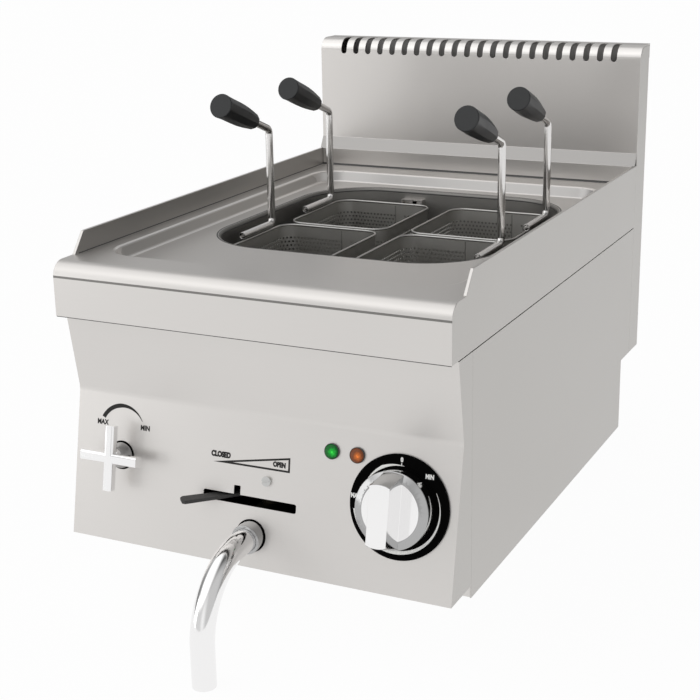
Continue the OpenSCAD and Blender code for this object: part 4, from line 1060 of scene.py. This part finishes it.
def paint_hidden():
    """Finishes for the solids inside, which keep their own meshes."""
    for node, material in {
            "heating_tubes": plain_steel, "heating_flange": tank_sheet, "sensing_bulb": drawn_copper,
            "capillary": drawn_copper, "tap_body": dulled_brass, "tap_spindle": plain_steel,
            "supply_pipe": drawn_copper, "fill_pipe": drawn_copper, "drain_pipe": tank_sheet,
            "valve_body": dulled_brass, "control_case": dark_plastic, "control_shaft": plain_steel,
            "lamp_holders": dark_plastic, "terminal_block": pale_plastic}.items():
        paint(node, material)


# Studio

def make_floor():
    """A wide pale table that shows white and keeps a faint shadow."""
    half, drop, white_share = 30.0, -0.0655, 0.96
    corners = [(x * half, y * half, drop) for x, y in ((-1, -1), (1, -1), (1, 1), (-1, 1))]
    mesh = bpy.data.meshes.new("table")
    mesh.from_pydata(corners, [], [(0, 1, 2, 3)])
    floor = bpy.data.objects.new("table", mesh)
    bpy.context.scene.collection.objects.link(floor)
    material = bpy.data.materials.new("table_white")
    tree = node_tree(material)
    out = add(tree, "ShaderNodeOutputMaterial")
    paper = add(tree, "ShaderNodeBsdfDiffuse", Color=(0.9, 0.9, 0.9, 1))
    white = add(tree, "ShaderNodeEmission", Color=(1, 1, 1, 1), Strength=1.0)
    path = add(tree, "ShaderNodeLightPath")
    seen = math_node(tree, "MAXIMUM", (path, "Is Camera Ray"), (path, "Is Glossy Ray"))
    seen = math_node(tree, "MAXIMUM", (seen, 0), (path, "Is Transmission Ray"))
    share = math_node(tree, "MULTIPLY", (seen, 0), white_share)
    mix = add(tree, "ShaderNodeMixShader")
    link(tree, share, 0, mix, 0)
    link(tree, paper, 0, mix, 1)
    link(tree, white, 0, mix, 2)
    link(tree, mix, 0, out, 0)
    mesh.materials.append(material)


def make_surround():
    """A soft studio surround: light from before, behind, above and the right."""
    base = 0.12
    # Each lobe: its direction, the cosines where it begins and is full, and its strength
    lobes = (((-0.40, -0.91, 0.0), 0.30, 0.95, 0.78),
             ((-0.40, 0.85, 0.33), 0.2, 0.95, 0.55),
             ((-0.40, -0.33, 0.85), 0.70, 0.92, 1.35),
             ((0.80, -0.50, 0.30), 0.45, 0.90, 0.65))
    world = bpy.data.worlds.new("studio")
    bpy.context.scene.world = world
    world.use_nodes = True
    tree = world.node_tree
    tree.nodes.clear()
    out = add(tree, "ShaderNodeOutputWorld")
    back = add(tree, "ShaderNodeBackground")
    heading = add(tree, "ShaderNodeTexCoord")
    total = None
    for direction, low, high, gain in lobes:
        dot = add(tree, "ShaderNodeVectorMath", operation="DOT_PRODUCT")
        link(tree, heading, "Generated", dot, 0)
        dot.inputs[1].default_value = Vector(direction).normalized()
        lobe = add(tree, "ShaderNodeMapRange", interpolation_type="SMOOTHSTEP")
        for key, value in {"From Min": low, "From Max": high, "To Min": 0.0, "To Max": gain}.items():
            lobe.inputs[key].default_value = value
        link(tree, dot, "Value", lobe, "Value")
        total = math_node(tree, "ADD", (lobe, 0), (total, 0) if total else base)
    link(tree, total, 0, back, "Strength")
    link(tree, back, 0, out, 0)


def softbox(name, at, aim, size, power):
    """A rectangular lamp aimed at a point."""
    light = bpy.data.lights.new(name, "AREA")
    light.shape = "RECTANGLE"
    light.size, light.size_y = size
    light.energy = power
    obj = bpy.data.objects.new(name, light)
    bpy.context.scene.collection.objects.link(obj)
    obj.location = at
    obj.rotation_euler = (Vector(aim) - Vector(at)).to_track_quat("-Z", "Y").to_euler()


def make_camera():
    """The photograph's viewpoint, fitted for a 700 by 700 frame."""
    az, el, roll = math.radians(26.07), math.radians(17.35), math.radians(1.06)
    position = Vector((623.5, -1356.3, 604.5))
    frame_px, focal_px, sensor = 700, 1449, 36.0
    ahead = Vector((-math.sin(az) * math.cos(el), math.cos(az) * math.cos(el), -math.sin(el)))
    right = Vector((math.cos(az), math.sin(az), 0))
    turn = Matrix((right, right.cross(ahead), -ahead)).transposed() @ Matrix.Rotation(-roll, 3, "Z")
    data = bpy.data.cameras.new("viewpoint")
    data.sensor_fit = "HORIZONTAL"
    data.sensor_width = sensor
    data.lens = sensor * focal_px / frame_px
    data.clip_end = 100
    cam = bpy.data.objects.new("viewpoint", data)
    bpy.context.scene.collection.objects.link(cam)
    cam.matrix_world = Matrix.LocRotScale(position * MM, turn, None)
    bpy.context.scene.camera = cam


make_body()
make_fittings()
make_lamp("lamp_green", LAMP_GREEN, green_lens)
make_lamp("lamp_orange", LAMP_ORANGE, orange_lens)
make_marks()
for basket in BASKETS:
    make_basket(basket)
paint_hidden()
make_floor()
make_surround()
softbox("key", at=(-2.2, -1.9, 0.35), aim=(0, -0.25, 0.1), size=(1.4, 1.4), power=8)
make_camera()
bpy.context.scene.view_settings.view_transform = "Standard"
